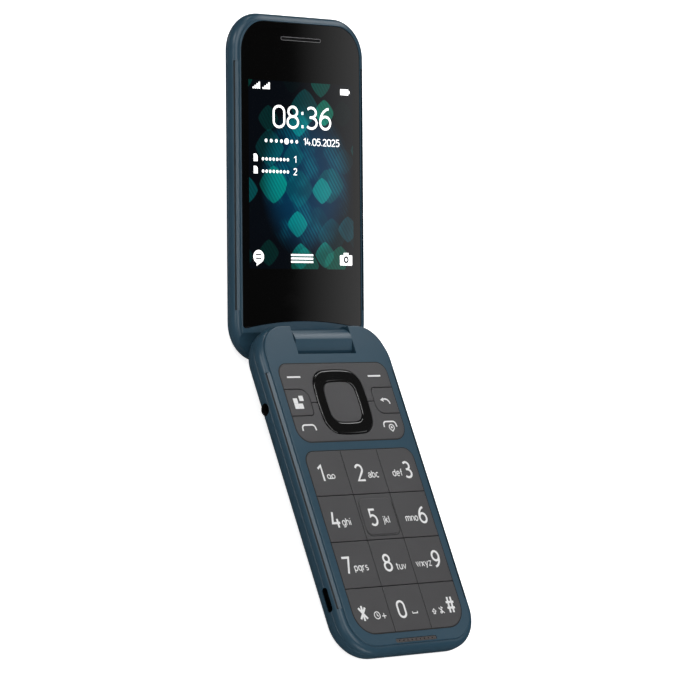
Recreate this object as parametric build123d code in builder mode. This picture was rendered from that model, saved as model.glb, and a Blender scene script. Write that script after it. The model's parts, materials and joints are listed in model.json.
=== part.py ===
"""Flip phone: a keypad half and a screen half on one hinge, standing open on a flat surface.

Every piece is drawn either in the keypad half's own plane, which leans back by the rest
angle, or in the screen half's plane, which stands at the opening angle to it. In both
planes x runs across the phone. In the keypad half y runs from the keypad's middle line to
the hinge. In the screen half y runs from the hinge axis to the earpiece. Heights are
measured from each half's inner face, and they are negative inside the half.
"""

from build123d import *
from math import asin, atan2, cos, degrees, hypot, pi, radians, sin, sqrt, tan
import os

# ---------------------------------------------------------------- driving dimensions, mm
body_width = 55.0
corner_r = 12.0
base_thick = 9.2
lid_thick = 6.7
near_end = 35.25  # from the keypad's middle line to the end at the user
hinge_end = 71.3  # from the keypad's middle line to the end at the hinge
closed_gap = 0.7  # between the two inner faces when shut
open_angle = 155.75  # from shut to the stop
hinge_y = 66.2
hinge_drop = 4.35  # hinge axis below the keypad face
back_edge_r = 5.1  # of the keypad half
seam_chamfer = 0.12  # on both sides of the line where a half's two housings meet

# the inner faces' edges: a low bead all round, and a plateau that stands on it
bead_r = 2.4
plateau_drop = 0.45
plateau_root = 2.0
plateau_inset = 2.4
plateau_near_inset = 2.25
plateau_hinge_inset = 0.7
plateau_edge_r = 0.35

# fingernail groove along both long sides, its ends measured from the hinge axis
groove_start = 10.6
groove_end = 86.5
groove_outer = body_width / 2 - 0.75
groove_inner = body_width / 2 - 2.3
groove_floor = 1.75
groove_top = 0.35

# keypad half, heights below its face
base_seam = 3.0
face_wall = 1.2
rim_wall = 3.3
key_bottom = 1.25
key_proud = 0.15
key_travel = 0.35
key_gap = 0.12  # between a key and the housing
key_split = 0.22  # between two keys
key_edge_r = 0.2
mat_thick = 0.25
dome_sheet_thick = 0.15
stack_gap = 0.05
fit_gap = 0.1  # between fixed pieces inside
slip_gap = 0.02  # between pieces pressed or slid together
over = 1.0  # cutters run this far past the faces they open
board_thick = 0.6
mid_floor_top = 4.05
mid_floor_thick = 0.5
cover_top = 7.8
cover_floor = 0.8
cover_end = 59.9
cover_lip = 2.9
cover_gap = 0.05

# keypad
key_rows = 4
key_columns = 3
keypad_side = 5.4  # from the body's side to the keys
keypad_half_width = body_width / 2 - keypad_side
column_pitch = 15.0
row_pitch = 14.76
outer_row = 14.34
keypad_top_r = 3.5
keypad_bottom_r = 7.0
pad_width = 13.4  # raised pad on the middle key
pad_height = 11.6
pad_r = 2.0
pad_proud = 0.25
pad_edge_r = 0.2

# navigation block
nav_side = 5.3
nav_half_width = body_width / 2 - nav_side
nav_low = 32.3
nav_high = 57.85
nav_top_r = 3.5
nav_bottom_r = 4.7
ring_y = 45.0
ring_half_width = 10.3
ring_half_height = 10.6
ring_corner_r = 5.6
ring_bulge = 0.9
ring_hole_half_width = 6.6
ring_hole_half_height = 6.85
ring_hole_r = 3.4
ring_hole_bulge = 0.45
ring_proud = 0.35
ring_bottom = 0.8
ring_edge_r = 0.45
ring_tilt_gap = 0.2
side_key_low = 40.9
side_key_high = 49.4
side_key_inner = 13.2
side_key_big_r = 3.0
side_key_small_r = 1.4
gimbal_top = 1.15
gimbal_thick = 0.2
gimbal_half_height = 9.6
trunnion_half_width = 0.5

# hinge
notch_side = 15.5  # width of each shoulder beside the notch
notch_half_width = body_width / 2 - notch_side
notch_floor = 61.2  # where the notch starts, from the keypad's middle line
barrel_r = 4.75
barrel_flat = 4.4  # from the axis to the flat on the barrel
barrel_gap = 0.3  # between the barrel's ends and the notch
web_back = 3.0
web_front = 2.2
trough_clearance = 0.28
pin_r = 2.0
pin_reach = 5.4  # into the keypad half's shoulders
pin_fit = 0.05
can_r = 2.8
can_wall = 0.4
flex_room = 6.35  # between the can and the bush
cam_thick = 1.5
drive_shaft_r = 1.2
bush_bore_r = 1.3
bush_insert = 3.4  # of the bush inside the barrel
spring_wire_r = 0.25
spring_r = 1.95
spring_turns = 6

# sockets on the left side
jack_drop = 5.1
jack_bore_r = 1.8
jack_body_r = 2.25
jack_half_width = 2.85
jack_inset = 3.7  # from the start of the rear bay
jack_length = 13.0
jack_mouth_r = 1.95
usb_y = -16.5
usb_drop = 3.35
usb_width = 7.4
usb_height = 2.3
usb_length = 5.4
usb_wall = 0.3
tongue_width = 3.9
tongue_height = 0.6

# right side
rocker_y = 27.0
rocker_length = 18.0
rocker_height = 2.4
rocker_drop = 4.4
rocker_proud = 0.4
rocker_depth = 2.0
rocker_gap = 0.15
rocker_back_gap = 0.3

# microphone slot under the keypad
mic_y = -31.9
mic_slot_width = 16.9
mic_slot_height = 1.3
mic_slot_depth = 0.9
mic_grille_thick = 0.75
mic_grille_hole_r = 0.22
mic_grille_holes = 9
mic_width = 3.4
mic_length = 2.7
mic_top = 1.65
mic_bottom = 2.95
mic_duct_r = 0.5

# battery, cards and parts on the board
battery_side = 6.5
battery_width = body_width - 2 * battery_side
battery_length = 52.0
battery_thick = 3.6
battery_low = -30.0
battery_r = 2.0
battery_edge_r = 0.5
bay_clearance = 0.35
sim_width = 12.0
memory_width = 11.0
card_length = 15.0
card_thick = 0.75
card_fit = 0.1
card_corner = 2.0
holder_width = 12.9
holder_pitch = 13.1
holder_inset = 0.5  # the cards' free ends stand out of the holders
holder_length = 14.8
holder_height = 1.4
contact_width = 10.0
contact_length = 2.2
contact_gap = 0.5
contact_blade = 1.2
contact_pitch = 3.0
contact_bottom = 7.4
contact_blade_top = 5.05
contact_blade_bottom = 6.9
bay_wall = 1.0
rear_bay_high = 59.6
speaker_side = 14.5
speaker_x = body_width / 2 - speaker_side
speaker_end = 9.1
speaker_y = rear_bay_high - speaker_end
speaker_width = 15.0
speaker_length = 11.0
speaker_thick = 3.2
speaker_top = 5.0
speaker_r = 2.0
speaker_dish = 0.4
grille_slots = 5
grille_slot_width = 9.0
grille_slot_height = 1.0
grille_pitch = 2.0
motor_r = 2.0
motor_length = 8.0
motor_x = -7.0
motor_end = 3.0
motor_y = rear_bay_high - motor_end
motor_drop = 5.3
motor_shaft_r = 0.4
motor_shaft_fit = 0.05
weight_r = 1.9
weight_length = 3.2
shield_top_gap = 0.05
shield_height = 1.0
shield_wall = 0.2
shield_width = 17.5
shield_length = 26.0
shield_x = 10.8
shield_y = 1.0

# screws, one pattern in each half
screw_shank_r = 0.7
screw_head_r = 1.25
screw_head_thick = 0.6
screw_hole_r = 0.85
screw_boss_r = 1.3
screw_head_gap = 0.12
screw_recess = 0.3
screw_recess_width = 0.35
screw_recess_length = 1.75
screw_tip = 0.8  # of solid face left over the tip
# each place is its distance in from the body's side, and along the half
base_screw_spots = [(4.2, -26.5), (3.8, 30.7), (6.5, 62.5)]
lid_screw_spots = [(6.9, 10.6), (9.1, 93.4)]

# screen half, heights below its inner face
lid_seam = 3.0
lid_side = 1.45  # of straight side behind the seam, before the back slopes in
lid_slope_reach = 7.0  # how far in the slope runs
lid_edge_r = 1.7
lid_slope_r = 15.0
glass_recess = 0.15
glass_thick = 1.0
glass_half_width = body_width / 2 - 2.95
glass_low = 4.9
glass_arch = 7.25  # the middle of the glass's bowed foot
glass_high = 99.0
glass_corner_r = 9.6
glass_hinge_r = 1.2
glass_gap = 0.1
glass_edge_r = 0.12
lid_plateau_far_inset = 1.9
screen_side = 5.9
screen_width = body_width - 2 * screen_side
screen_height = 57.6
screen_low = 23.31  # foot of the lit area, from the hinge axis
panel_border = 1.6
panel_foot = 2.6
panel_thick = 1.7
panel_gap = 0.05
panel_fit = 0.2
earpiece_drop = 4.9
earpiece_v = glass_high - earpiece_drop
earpiece_slot_width = 16.4
earpiece_slot_height = 1.0
earpiece_length = 12.0
earpiece_height = 5.6
earpiece_thick = 1.7
earpiece_fit = 0.2
mesh_inset = 0.06
mesh_depth = 0.12
mesh_thick = 0.5
mesh_hole_r = 0.16
mesh_holes = 22
lid_wall = 5.3
lid_back_wall = 1.3
lid_cavity_low = -0.8
lid_board_gap = 0.15
lid_board_low = 8.6
lid_board_high = 95.7
lid_board_inset = 0.4
chin_side = 6.0
chin_half_width = body_width / 2 - chin_side
chin_low = 7.0
chin_high = 19.4
chin_floor = 2.2
lid_boss_r = 1.7
lid_screw_head_depth = 0.7
lid_screw_end = 5.3

# outer face of the screen half
window_side = 10.5
window_half_width = body_width / 2 - window_side
window_low = 8.0
window_high = 74.0
window_r = 4.0
window_thick = 0.75
outer_panel_border = 1.5
outer_panel_width = 2 * (window_half_width - outer_panel_border)
outer_panel_height = 41.0
outer_panel_v = 49.0
window_fit = 0.05
window_ledge = 1.6
outer_panel_gap = 0.1
camera_v = 16.0
camera_size = 8.0
camera_lens_r = 2.6
camera_pupil_r = 1.3
camera_pupil_depth = 0.5
camera_hole_gap = 0.4
camera_corner_r = 0.4
lens_overlap = 0.4  # of the lens barrel with the module's body
flash_x = 9.4
flash_r = 1.5

# flat cable between the halves
flex_roll_r = 1.0
flex_roll_gap = 1.55  # between the can and the coiled cable
flex_roll_reach = 4.5  # into the shoulder
flex_thick = 0.2
flex_width = 4.0
flex_slot = 0.6
flex_slot_gap = 0.3
base_flex_width = 1.5
base_flex_start = 57.0
base_flex_drop = 0.1
channel_gap = 0.3
channel_depth = 5.5

# ---------------------------------------------------------------- derived places
lift = 180.0 - open_angle
axis_to_lid = closed_gap + hinge_drop
lid_tail = hinge_end - hinge_y  # both ends of the two halves are flush when shut
lid_far = near_end + hinge_y
keypad_half_height = row_pitch + outer_row
keypad_rows_y = [row_pitch + outer_row / 2, row_pitch / 2, -row_pitch / 2, -row_pitch - outer_row / 2]
mat_top = key_bottom + key_travel + fit_gap
dome_sheet_top = mat_top + mat_thick + stack_gap
board_top = dome_sheet_top + dome_sheet_thick + stack_gap
board_bottom = board_top + board_thick
inner_half_width = body_width / 2 - rim_wall
bay_half_width = battery_width / 2 + bay_clearance
barrel_half = notch_half_width - barrel_gap
battery_high = battery_low + battery_length
contact_low = battery_high + contact_gap
contact_high = contact_low + contact_length
card_bay_low = contact_high + 2 * fit_gap
card_low = card_bay_low + 2 * fit_gap
holder_low = card_low + holder_inset
card_bay_high = holder_low + holder_length + 2 * fit_gap
card_bay_half_width = holder_pitch + holder_width / 2 + 3 * fit_gap
rear_bay_low = card_bay_high + bay_wall
jack_y = rear_bay_low + jack_inset


def turned(y, z, angle):
    """A point of the side view turned about the x axis."""
    a = radians(angle)
    return y * cos(a) - z * sin(a), y * sin(a) + z * cos(a)


# the phone stands on two rounded back edges, the keypad half's near end and the screen half's
# tail, so both of their circles touch the same level line
lid_slope = atan2(lid_thick - lid_seam - lid_side, lid_slope_reach)
lid_edge_depth = lid_seam + lid_side - lid_edge_r * tan((pi / 2 - lid_slope) / 2)
near_edge = (-(near_end - back_edge_r), -(base_thick - back_edge_r))
lid_foot = turned(0.0, -axis_to_lid, lift)
tail_turned = turned(-(lid_tail - lid_edge_r), -lid_edge_depth, lift)
tail_edge = (hinge_y + lid_foot[0] + tail_turned[0], -hinge_drop + lid_foot[1] + tail_turned[1])
feet_run = (tail_edge[0] - near_edge[0], tail_edge[1] - near_edge[1])
rest_tilt = degrees(asin((lid_edge_r - back_edge_r) / hypot(*feet_run)) - atan2(feet_run[1], feet_run[0]))
bead_edge = (-(near_end - bead_r), -(plateau_drop + bead_r))
lowest_y = turned(*bead_edge, rest_tilt)[0] - bead_r
far_turned = turned(lid_far - lid_edge_r, -lid_edge_depth, lift)
far_edge = (hinge_y + lid_foot[0] + far_turned[0], -hinge_drop + lid_foot[1] + far_turned[1])
highest_y = turned(*far_edge, rest_tilt)[0] + lid_edge_r
origin_y = -(lowest_y + highest_y) / 2
origin_z = back_edge_r - turned(*near_edge, rest_tilt)[1]


def leaning(origin, angle):
    """A plane turned about the x axis, its normal out of the inner face."""
    a = radians(angle)
    return Plane(origin=origin, x_dir=(1, 0, 0), z_dir=(0, -sin(a), cos(a)))


base = leaning((-rocker_proud / 2, origin_y, origin_z), rest_tilt)
hinge_point = base.from_local_coords(Vector(0, hinge_y, -hinge_drop))
lid = leaning((0, 0, 0), rest_tilt + lift)
lid = leaning(hinge_point - lid.z_dir * axis_to_lid, rest_tilt + lift)
base_up = Axis(base.origin, base.z_dir)
lid_up = Axis(lid.origin, lid.z_dir)


def at(half, x, y, z):
    """A point of a half in the phone's own frame."""
    return half.from_local_coords(Vector(x, y, z))


def side_view(half, x=0.0):
    """A plane across the width: its x runs along the half, its y out of the inner face."""
    return Plane(origin=at(half, x, 0, 0), x_dir=half.y_dir, z_dir=half.x_dir)


def end_view(half, y):
    """A plane square to the half's length: its x runs across, its y out of the inner face."""
    return Plane(origin=at(half, 0, y, 0), x_dir=half.x_dir, z_dir=half.y_dir * -1)


def rect(low_x, high_x, low_y, high_y):
    """A plain rectangle between four sides."""
    with Locations(((low_x + high_x) / 2, (low_y + high_y) / 2)):
        Rectangle(high_x - low_x, high_y - low_y)


def plan(low, high, inset=0.0):
    """The rounded plan of a half between two ends, its sides moved inwards."""
    with Locations((0, (low + high) / 2)):
        RectangleRounded(body_width - 2 * inset, high - low, corner_r - inset)


def mirrored(spots):
    """Each place, counted in from both sides of the body."""
    return [(side * (body_width / 2 - inset), y) for inset, y in spots for side in (-1, 1)]


def block(half, top, bottom, *sides, mode=Mode.ADD):
    """A box in a half, between two depths."""
    with BuildSketch(half.offset(-bottom)) as foot:
        rect(*sides)
    extrude(foot.sketch, amount=bottom - top, mode=mode)


def grooves(half, start, length):
    """The fingernail grooves along both long sides."""
    with BuildSketch(end_view(half, start)) as wedges:
        for side in (-1, 1):
            with BuildLine():
                Polyline(
                    (side * groove_outer, over),
                    (side * groove_outer, -groove_floor),
                    (side * groove_inner, -groove_top),
                    (side * groove_inner, over),
                    close=True,
                )
            make_face()
    extrude(wedges.sketch, amount=length, dir=half.y_dir, mode=Mode.SUBTRACT)


def cut_notch():
    """The gap between the keypad half's shoulders, for the hinge barrel."""
    with BuildSketch(base.offset(-base_thick - over)) as notch:
        rect(-notch_half_width, notch_half_width, notch_floor, hinge_end + over)
    extrude(notch.sketch, amount=base_thick + 2 * over, mode=Mode.SUBTRACT)


def cut_hinge_bores():
    """Blind bores in both shoulders, for the drive shaft and the bush."""
    with BuildSketch(side_view(base, -notch_half_width - pin_reach)) as bore:
        with Locations((hinge_y, -hinge_drop)):
            Circle(pin_r + pin_fit)
    extrude(bore.sketch, amount=2 * (notch_half_width + pin_reach), mode=Mode.SUBTRACT)


def cut_base_screws(top, bottom, radius):
    """Round holes at every screw of the keypad half, between two depths."""
    with BuildSketch(base.offset(-bottom)) as holes:
        with Locations(*mirrored(base_screw_spots)):
            Circle(radius)
    extrude(holes.sketch, amount=bottom - top, mode=Mode.SUBTRACT)


def cut_usb():
    """The charging socket's opening in the left wall."""
    with BuildSketch(side_view(base, -body_width / 2 - over)) as slot:
        with Locations((usb_y, -usb_drop)):
            RectangleRounded(usb_width + 2 * fit_gap, usb_height + 2 * fit_gap, usb_height / 2 - fit_gap)
    extrude(slot.sketch, amount=usb_length + 2 * over, mode=Mode.SUBTRACT)


def cut_jack():
    """The earphone plug's hole in the left wall."""
    with BuildSketch(side_view(base, -body_width / 2 - over)) as mouth:
        with Locations((jack_y, -jack_drop)):
            Circle(jack_mouth_r)
    extrude(mouth.sketch, amount=rim_wall + over, mode=Mode.SUBTRACT)


def cut_rocker():
    """The volume rocker's slot in the right wall."""
    with BuildSketch(side_view(base, body_width / 2 + over)) as slot:
        with Locations((rocker_y, -rocker_drop)):
            RectangleRounded(
                rocker_length + 2 * rocker_gap,
                rocker_height + 2 * rocker_gap,
                rocker_height / 2,
            )
    extrude(slot.sketch, amount=-(rocker_depth + rocker_back_gap + over), mode=Mode.SUBTRACT)


def squircle(half_width, half_height, radius, bulge, grow=0.0, mode=Mode.ADD):
    """A rounded square with gently bowed sides, about the ring's centre."""
    wide, high = half_width + grow, half_height + grow
    x, y = wide - bulge, high - bulge
    with BuildLine() as outline:
        ThreePointArc((x, ring_y + y), (0, ring_y + high), (-x, ring_y + y))
        ThreePointArc((-x, ring_y + y), (-wide, ring_y), (-x, ring_y - y))
        ThreePointArc((-x, ring_y - y), (0, ring_y - high), (x, ring_y - y))
        ThreePointArc((x, ring_y - y), (wide, ring_y), (x, ring_y + y))
        fillet(outline.vertices(), radius + grow)
    make_face(outline.edges(), mode=mode)


# ---------------------------------------------------------------- plans of the key fields
with BuildSketch() as keypad_plan:
    Rectangle(2 * keypad_half_width, 2 * keypad_half_height)
    fillet(keypad_plan.vertices().group_by(Axis.Y)[-1], keypad_top_r)
    fillet(keypad_plan.vertices().group_by(Axis.Y)[0], keypad_bottom_r)

with BuildSketch() as nav_plan:
    rect(-nav_half_width, nav_half_width, nav_low, nav_high)
    fillet(nav_plan.vertices().group_by(Axis.Y)[-1], nav_top_r)
    fillet(nav_plan.vertices().group_by(Axis.Y)[0], nav_bottom_r)

ring_outline = (ring_half_width, ring_half_height, ring_corner_r, ring_bulge)
ring_hole = (ring_hole_half_width, ring_hole_half_height, ring_hole_r, ring_hole_bulge)

with BuildSketch() as shortcut_plan:
    rect(-nav_half_width, -side_key_inner, side_key_low, side_key_high)
    top_corner = shortcut_plan.vertices().group_by(Axis.Y)[-1].sort_by(Axis.X)[-1]
    fillet(top_corner, side_key_big_r)
    low_corner = shortcut_plan.vertices().group_by(Axis.Y)[0].sort_by(Axis.X)[-1]
    fillet(low_corner, side_key_small_r)

with BuildSketch() as back_plan:
    add(shortcut_plan.sketch.rotate(Axis((0, (side_key_low + side_key_high) / 2, 0), (0, 0, 1)), 180))

pieces = {}

# ---------------------------------------------------------------- keypad half, housings
with BuildPart() as base_front_housing:
    with BuildSketch(base.offset(-base_seam)):
        plan(-near_end, hinge_end)
    extrude(amount=base_seam - plateau_drop)
    fillet(base_front_housing.edges().group_by(base_up)[-1], bead_r)
    chamfer(base_front_housing.edges().group_by(base_up)[0], seam_chamfer)
    with BuildSketch(base.offset(-plateau_root)):
        plan(-near_end + plateau_near_inset, hinge_end - plateau_hinge_inset, plateau_inset)
    extrude(amount=plateau_root)
    fillet(base_front_housing.edges().group_by(base_up)[-1], plateau_edge_r)
    grooves(base, hinge_y - groove_end, groove_end - groove_start)
    with BuildSketch(base.offset(-base_seam)):
        plan(-near_end + rim_wall, rear_bay_high, rim_wall)
    extrude(amount=base_seam - face_wall, mode=Mode.SUBTRACT)
    with BuildSketch(base.offset(-base_seam)):
        with Locations(*mirrored(base_screw_spots)):
            Circle(screw_boss_r)
    extrude(amount=base_seam - face_wall)
    with BuildSketch(base.offset(-face_wall)):
        offset(keypad_plan.sketch, amount=key_gap, mode=Mode.ADD)
        offset(nav_plan.sketch, amount=key_gap, mode=Mode.ADD)
    extrude(amount=face_wall, mode=Mode.SUBTRACT)
    with BuildSketch(base.offset(-mic_slot_depth)):
        with Locations((0, mic_y)):
            SlotOverall(mic_slot_width, mic_slot_height)
    extrude(amount=mic_slot_depth, mode=Mode.SUBTRACT)
    cut_base_screws(screw_tip, base_seam, screw_shank_r)
    block(
        base, mic_top - fit_gap, base_seam,
        -mic_width / 2 - fit_gap, mic_width / 2 + fit_gap,
        mic_y - mic_length / 2 - fit_gap, mic_y + mic_length / 2 + fit_gap,
        mode=Mode.SUBTRACT,
    )
    with BuildSketch(base.offset(-mic_top)):
        with Locations((0, mic_y)):
            Circle(mic_duct_r)
    extrude(amount=mic_top, mode=Mode.SUBTRACT)
    cut_notch()
    cut_hinge_bores()
    cut_usb()
    cut_jack()
pieces["base_front_housing"] = base_front_housing

with BuildPart() as base_rear_housing:
    with BuildSketch(base.offset(-base_thick)):
        plan(-near_end, hinge_end)
    extrude(amount=base_thick - base_seam)
    fillet(base_rear_housing.edges().group_by(base_up)[0], back_edge_r)
    chamfer(base_rear_housing.edges().group_by(base_up)[-1], seam_chamfer)
    block(
        base, cover_top, base_thick + over,
        -body_width, body_width, -body_width, cover_end + fit_gap,
        mode=Mode.SUBTRACT,
    )
    with BuildSketch(base.offset(-mid_floor_top)):
        plan(-near_end + rim_wall, rear_bay_high, rim_wall)
    extrude(amount=mid_floor_top - base_seam, mode=Mode.SUBTRACT)
    with BuildSketch(base.offset(-base_thick - over)):
        bay_low = battery_low - bay_clearance
        bay_high = battery_high + bay_clearance
        rect(-bay_half_width, bay_half_width, bay_low, bay_high)
    extrude(amount=base_thick + over - mid_floor_top - mid_floor_thick, mode=Mode.SUBTRACT)
    with BuildSketch(base.offset(-base_thick - over)):
        rect(-card_bay_half_width, card_bay_half_width, card_bay_low, card_bay_high)
        rect(-inner_half_width, inner_half_width, rear_bay_low, rear_bay_high)
    extrude(amount=base_thick + over - base_seam, mode=Mode.SUBTRACT)
    block(
        base, base_seam - over, base_thick + over,
        -contact_width / 2 - fit_gap, contact_width / 2 + fit_gap, bay_high - over, card_bay_low + over,
        mode=Mode.SUBTRACT,
    )
    channel_low = notch_half_width + pin_reach - channel_gap
    block(
        base, base_seam - over, channel_depth,
        channel_low, channel_low + base_flex_width + 2 * channel_gap,
        rear_bay_high - over, hinge_y + pin_r,
        mode=Mode.SUBTRACT,
    )
    cut_base_screws(base_seam - over, base_thick + over, screw_hole_r)
    cut_base_screws(mid_floor_top + mid_floor_thick, base_thick + over, screw_head_r + screw_head_gap)
    cut_notch()
    cut_hinge_bores()
    cut_usb()
    cut_jack()
    cut_rocker()
pieces["base_rear_housing"] = base_rear_housing

with BuildPart() as back_cover:
    with BuildSketch(base.offset(-base_thick)):
        plan(-near_end, hinge_end)
    extrude(amount=base_thick - base_seam)
    fillet(back_cover.edges().group_by(base_up)[0], back_edge_r)
    block(
        base, 0, cover_top + cover_gap,
        -body_width, body_width, -2 * near_end, 2 * hinge_end,
        mode=Mode.SUBTRACT,
    )
    block(
        base, 0, base_thick + over,
        -body_width, body_width, cover_end, 2 * hinge_end,
        mode=Mode.SUBTRACT,
    )
    with BuildSketch(base.offset(-base_thick + cover_floor)):
        plan(-near_end + cover_lip, hinge_end, cover_lip)
    extrude(amount=base_thick, mode=Mode.SUBTRACT)
    with BuildSketch(base.offset(-base_thick - over)):
        with Locations((speaker_x, speaker_y)):
            with GridLocations(0, grille_pitch, 1, grille_slots):
                SlotOverall(grille_slot_width, grille_slot_height)
    extrude(amount=base_thick, mode=Mode.SUBTRACT)
pieces["back_cover"] = back_cover

# ---------------------------------------------------------------- keypad half, the inside
with BuildSketch() as sheet_plan:
    plan(-near_end + rim_wall + fit_gap, rear_bay_high - fit_gap, rim_wall + fit_gap)
    with Locations(*mirrored(base_screw_spots[:2])):
        Circle(screw_boss_r + fit_gap, mode=Mode.SUBTRACT)
    with Locations((0, mic_y)):
        Rectangle(mic_width + 4 * fit_gap, mic_length + 4 * fit_gap, mode=Mode.SUBTRACT)

with BuildPart() as keypad_mat:
    with BuildSketch(base.offset(-mat_top - mat_thick)):
        add(sheet_plan.sketch)
    extrude(amount=mat_thick)
pieces["keypad_mat"] = keypad_mat

with BuildPart() as dome_sheet:
    with BuildSketch(base.offset(-dome_sheet_top - dome_sheet_thick)):
        add(sheet_plan.sketch)
    extrude(amount=dome_sheet_thick)
pieces["dome_sheet"] = dome_sheet

with BuildPart() as main_board:
    with BuildSketch(base.offset(-board_bottom)):
        add(sheet_plan.sketch)
        with Locations((-body_width / 2, usb_y)):
            Rectangle(
                2 * (usb_length + plateau_drop + 2 * fit_gap), usb_width + 4 * fit_gap, mode=Mode.SUBTRACT
            )
    extrude(amount=board_thick)
pieces["main_board"] = main_board

shield_top = board_bottom + shield_top_gap
with BuildPart() as rf_shields:
    for side in (-1, 1):
        x = side * shield_x
        for wall, mode in ((0, Mode.ADD), (shield_wall, Mode.SUBTRACT)):
            across, along = shield_width / 2 - wall, shield_length / 2 - wall
            block(
                base, shield_top, shield_top + shield_height - wall,
                x - across, x + across, shield_y - along, shield_y + along,
                mode=mode,
            )
pieces["rf_shields"] = rf_shields

with BuildPart() as battery:
    with BuildSketch(base.offset(-mid_floor_top - mid_floor_thick - fit_gap - battery_thick)):
        with Locations((0, battery_low + battery_length / 2)):
            RectangleRounded(battery_width, battery_length, battery_r)
    extrude(amount=battery_thick)
    fillet(battery.edges().group_by(base_up)[0] + battery.edges().group_by(base_up)[-1], battery_edge_r)
pieces["battery"] = battery

with BuildPart() as battery_contacts:
    block(base, shield_top, contact_bottom, -contact_width / 2, contact_width / 2, contact_low, contact_high)
    for x in (-contact_pitch, 0, contact_pitch):
        block(
            base, contact_blade_top, contact_blade_bottom,
            x - contact_blade / 2, x + contact_blade / 2,
            battery_high + stack_gap, contact_low,
        )
pieces["battery_contacts"] = battery_contacts

holder_places = [(-holder_pitch, sim_width), (0, sim_width), (holder_pitch, memory_width)]
card_top = shield_top + (holder_height - card_thick) / 2
with BuildPart() as card_holders:
    for x, card_width in holder_places:
        block(
            base, shield_top, shield_top + holder_height,
            x - holder_width / 2, x + holder_width / 2, holder_low, holder_low + holder_length,
        )
        block(
            base, card_top - card_fit, card_top + card_thick + card_fit,
            x - card_width / 2 - card_fit, x + card_width / 2 + card_fit,
            holder_low - over, card_low + card_length + card_fit,
            mode=Mode.SUBTRACT,
        )
pieces["card_holders"] = card_holders


def card(x, width):
    """One card lying in its holder, with the corner cut that keys it."""
    with BuildSketch(base.offset(-card_top - card_thick)) as face:
        rect(x - width / 2, x + width / 2, card_low, card_low + card_length)
        chamfer(face.vertices().group_by(Axis.Y)[-1].sort_by(Axis.X)[-1], card_corner)
    extrude(face.sketch, amount=card_thick)


with BuildPart() as sim_cards:
    for x, card_width in holder_places[:2]:
        card(x, card_width)
pieces["sim_cards"] = sim_cards

with BuildPart() as memory_card:
    card(*holder_places[2])
pieces["memory_card"] = memory_card

with BuildPart() as loudspeaker:
    with BuildSketch(base.offset(-speaker_top - speaker_thick)):
        with Locations((speaker_x, speaker_y)):
            RectangleRounded(speaker_width, speaker_length, speaker_r)
    extrude(amount=speaker_thick)
    with BuildSketch(base.offset(-speaker_top - speaker_thick)):
        with Locations((speaker_x, speaker_y)):
            RectangleRounded(speaker_width - speaker_r, speaker_length - speaker_r, speaker_r / 2)
    extrude(amount=speaker_dish, mode=Mode.SUBTRACT)
pieces["loudspeaker"] = loudspeaker

with BuildPart() as vibration_motor:
    with BuildSketch(side_view(base, motor_x)):
        with Locations((motor_y, -motor_drop)):
            Circle(motor_r)
            Circle(motor_shaft_r + motor_shaft_fit, mode=Mode.SUBTRACT)
    extrude(amount=motor_length)
pieces["vibration_motor"] = vibration_motor

with BuildPart() as motor_weight:
    with BuildSketch(side_view(base, motor_x - weight_length - 4 * motor_shaft_fit)):
        with Locations((motor_y, -motor_drop)):
            Circle(weight_r)
            with Locations((0, weight_r)):
                Rectangle(2 * weight_r, 2 * weight_r - 2 * motor_shaft_r, mode=Mode.SUBTRACT)
            Circle(motor_shaft_r)
    extrude(amount=weight_length)
    with BuildSketch(side_view(base, motor_x - weight_length)):
        with Locations((motor_y, -motor_drop)):
            Circle(motor_shaft_r)
    extrude(amount=weight_length + motor_length)
pieces["motor_weight"] = motor_weight

with BuildPart() as microphone:
    block(
        base, mic_top, mic_bottom,
        -mic_width / 2, mic_width / 2, mic_y - mic_length / 2, mic_y + mic_length / 2,
    )
    with BuildSketch(base.offset(-mic_top)):
        with Locations((0, mic_y)):
            Circle(mic_duct_r)
    extrude(amount=-mic_duct_r, mode=Mode.SUBTRACT)
pieces["microphone"] = microphone

with BuildPart() as mic_grille:
    with BuildSketch(base.offset(-mic_slot_depth)):
        with Locations((0, mic_y)):
            SlotOverall(mic_slot_width - 2 * fit_gap, mic_slot_height - 2 * fit_gap)
            with GridLocations(mic_slot_width / (mic_grille_holes + 1), 0, mic_grille_holes, 1):
                Circle(mic_grille_hole_r, mode=Mode.SUBTRACT)
    extrude(amount=mic_grille_thick)
pieces["mic_grille"] = mic_grille

jack_inner = -inner_half_width + fit_gap
with BuildPart() as audio_jack_socket:
    block(
        base, jack_drop - jack_body_r, jack_drop + jack_body_r,
        jack_inner, jack_inner + jack_length, jack_y - jack_half_width, jack_y + jack_half_width,
    )
    with BuildSketch(side_view(base, jack_inner)):
        with Locations((jack_y, -jack_drop)):
            Circle(jack_bore_r)
    extrude(amount=jack_length - usb_wall, mode=Mode.SUBTRACT)
pieces["audio_jack_socket"] = audio_jack_socket

usb_mouth = -body_width / 2 + plateau_drop
with BuildPart() as usb_socket:
    with BuildSketch(side_view(base, usb_mouth)):
        with Locations((usb_y, -usb_drop)):
            RectangleRounded(usb_width, usb_height, usb_height / 2 - usb_wall)
    extrude(amount=usb_length)
    with BuildSketch(side_view(base, usb_mouth)):
        with Locations((usb_y, -usb_drop)):
            RectangleRounded(
                usb_width - 2 * usb_wall, usb_height - 2 * usb_wall, usb_height / 2 - 2 * usb_wall
            )
            with Locations((0, usb_wall)):
                Rectangle(tongue_width, tongue_height, mode=Mode.SUBTRACT)
    extrude(amount=usb_length - usb_wall, mode=Mode.SUBTRACT)
pieces["usb_socket"] = usb_socket

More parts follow.
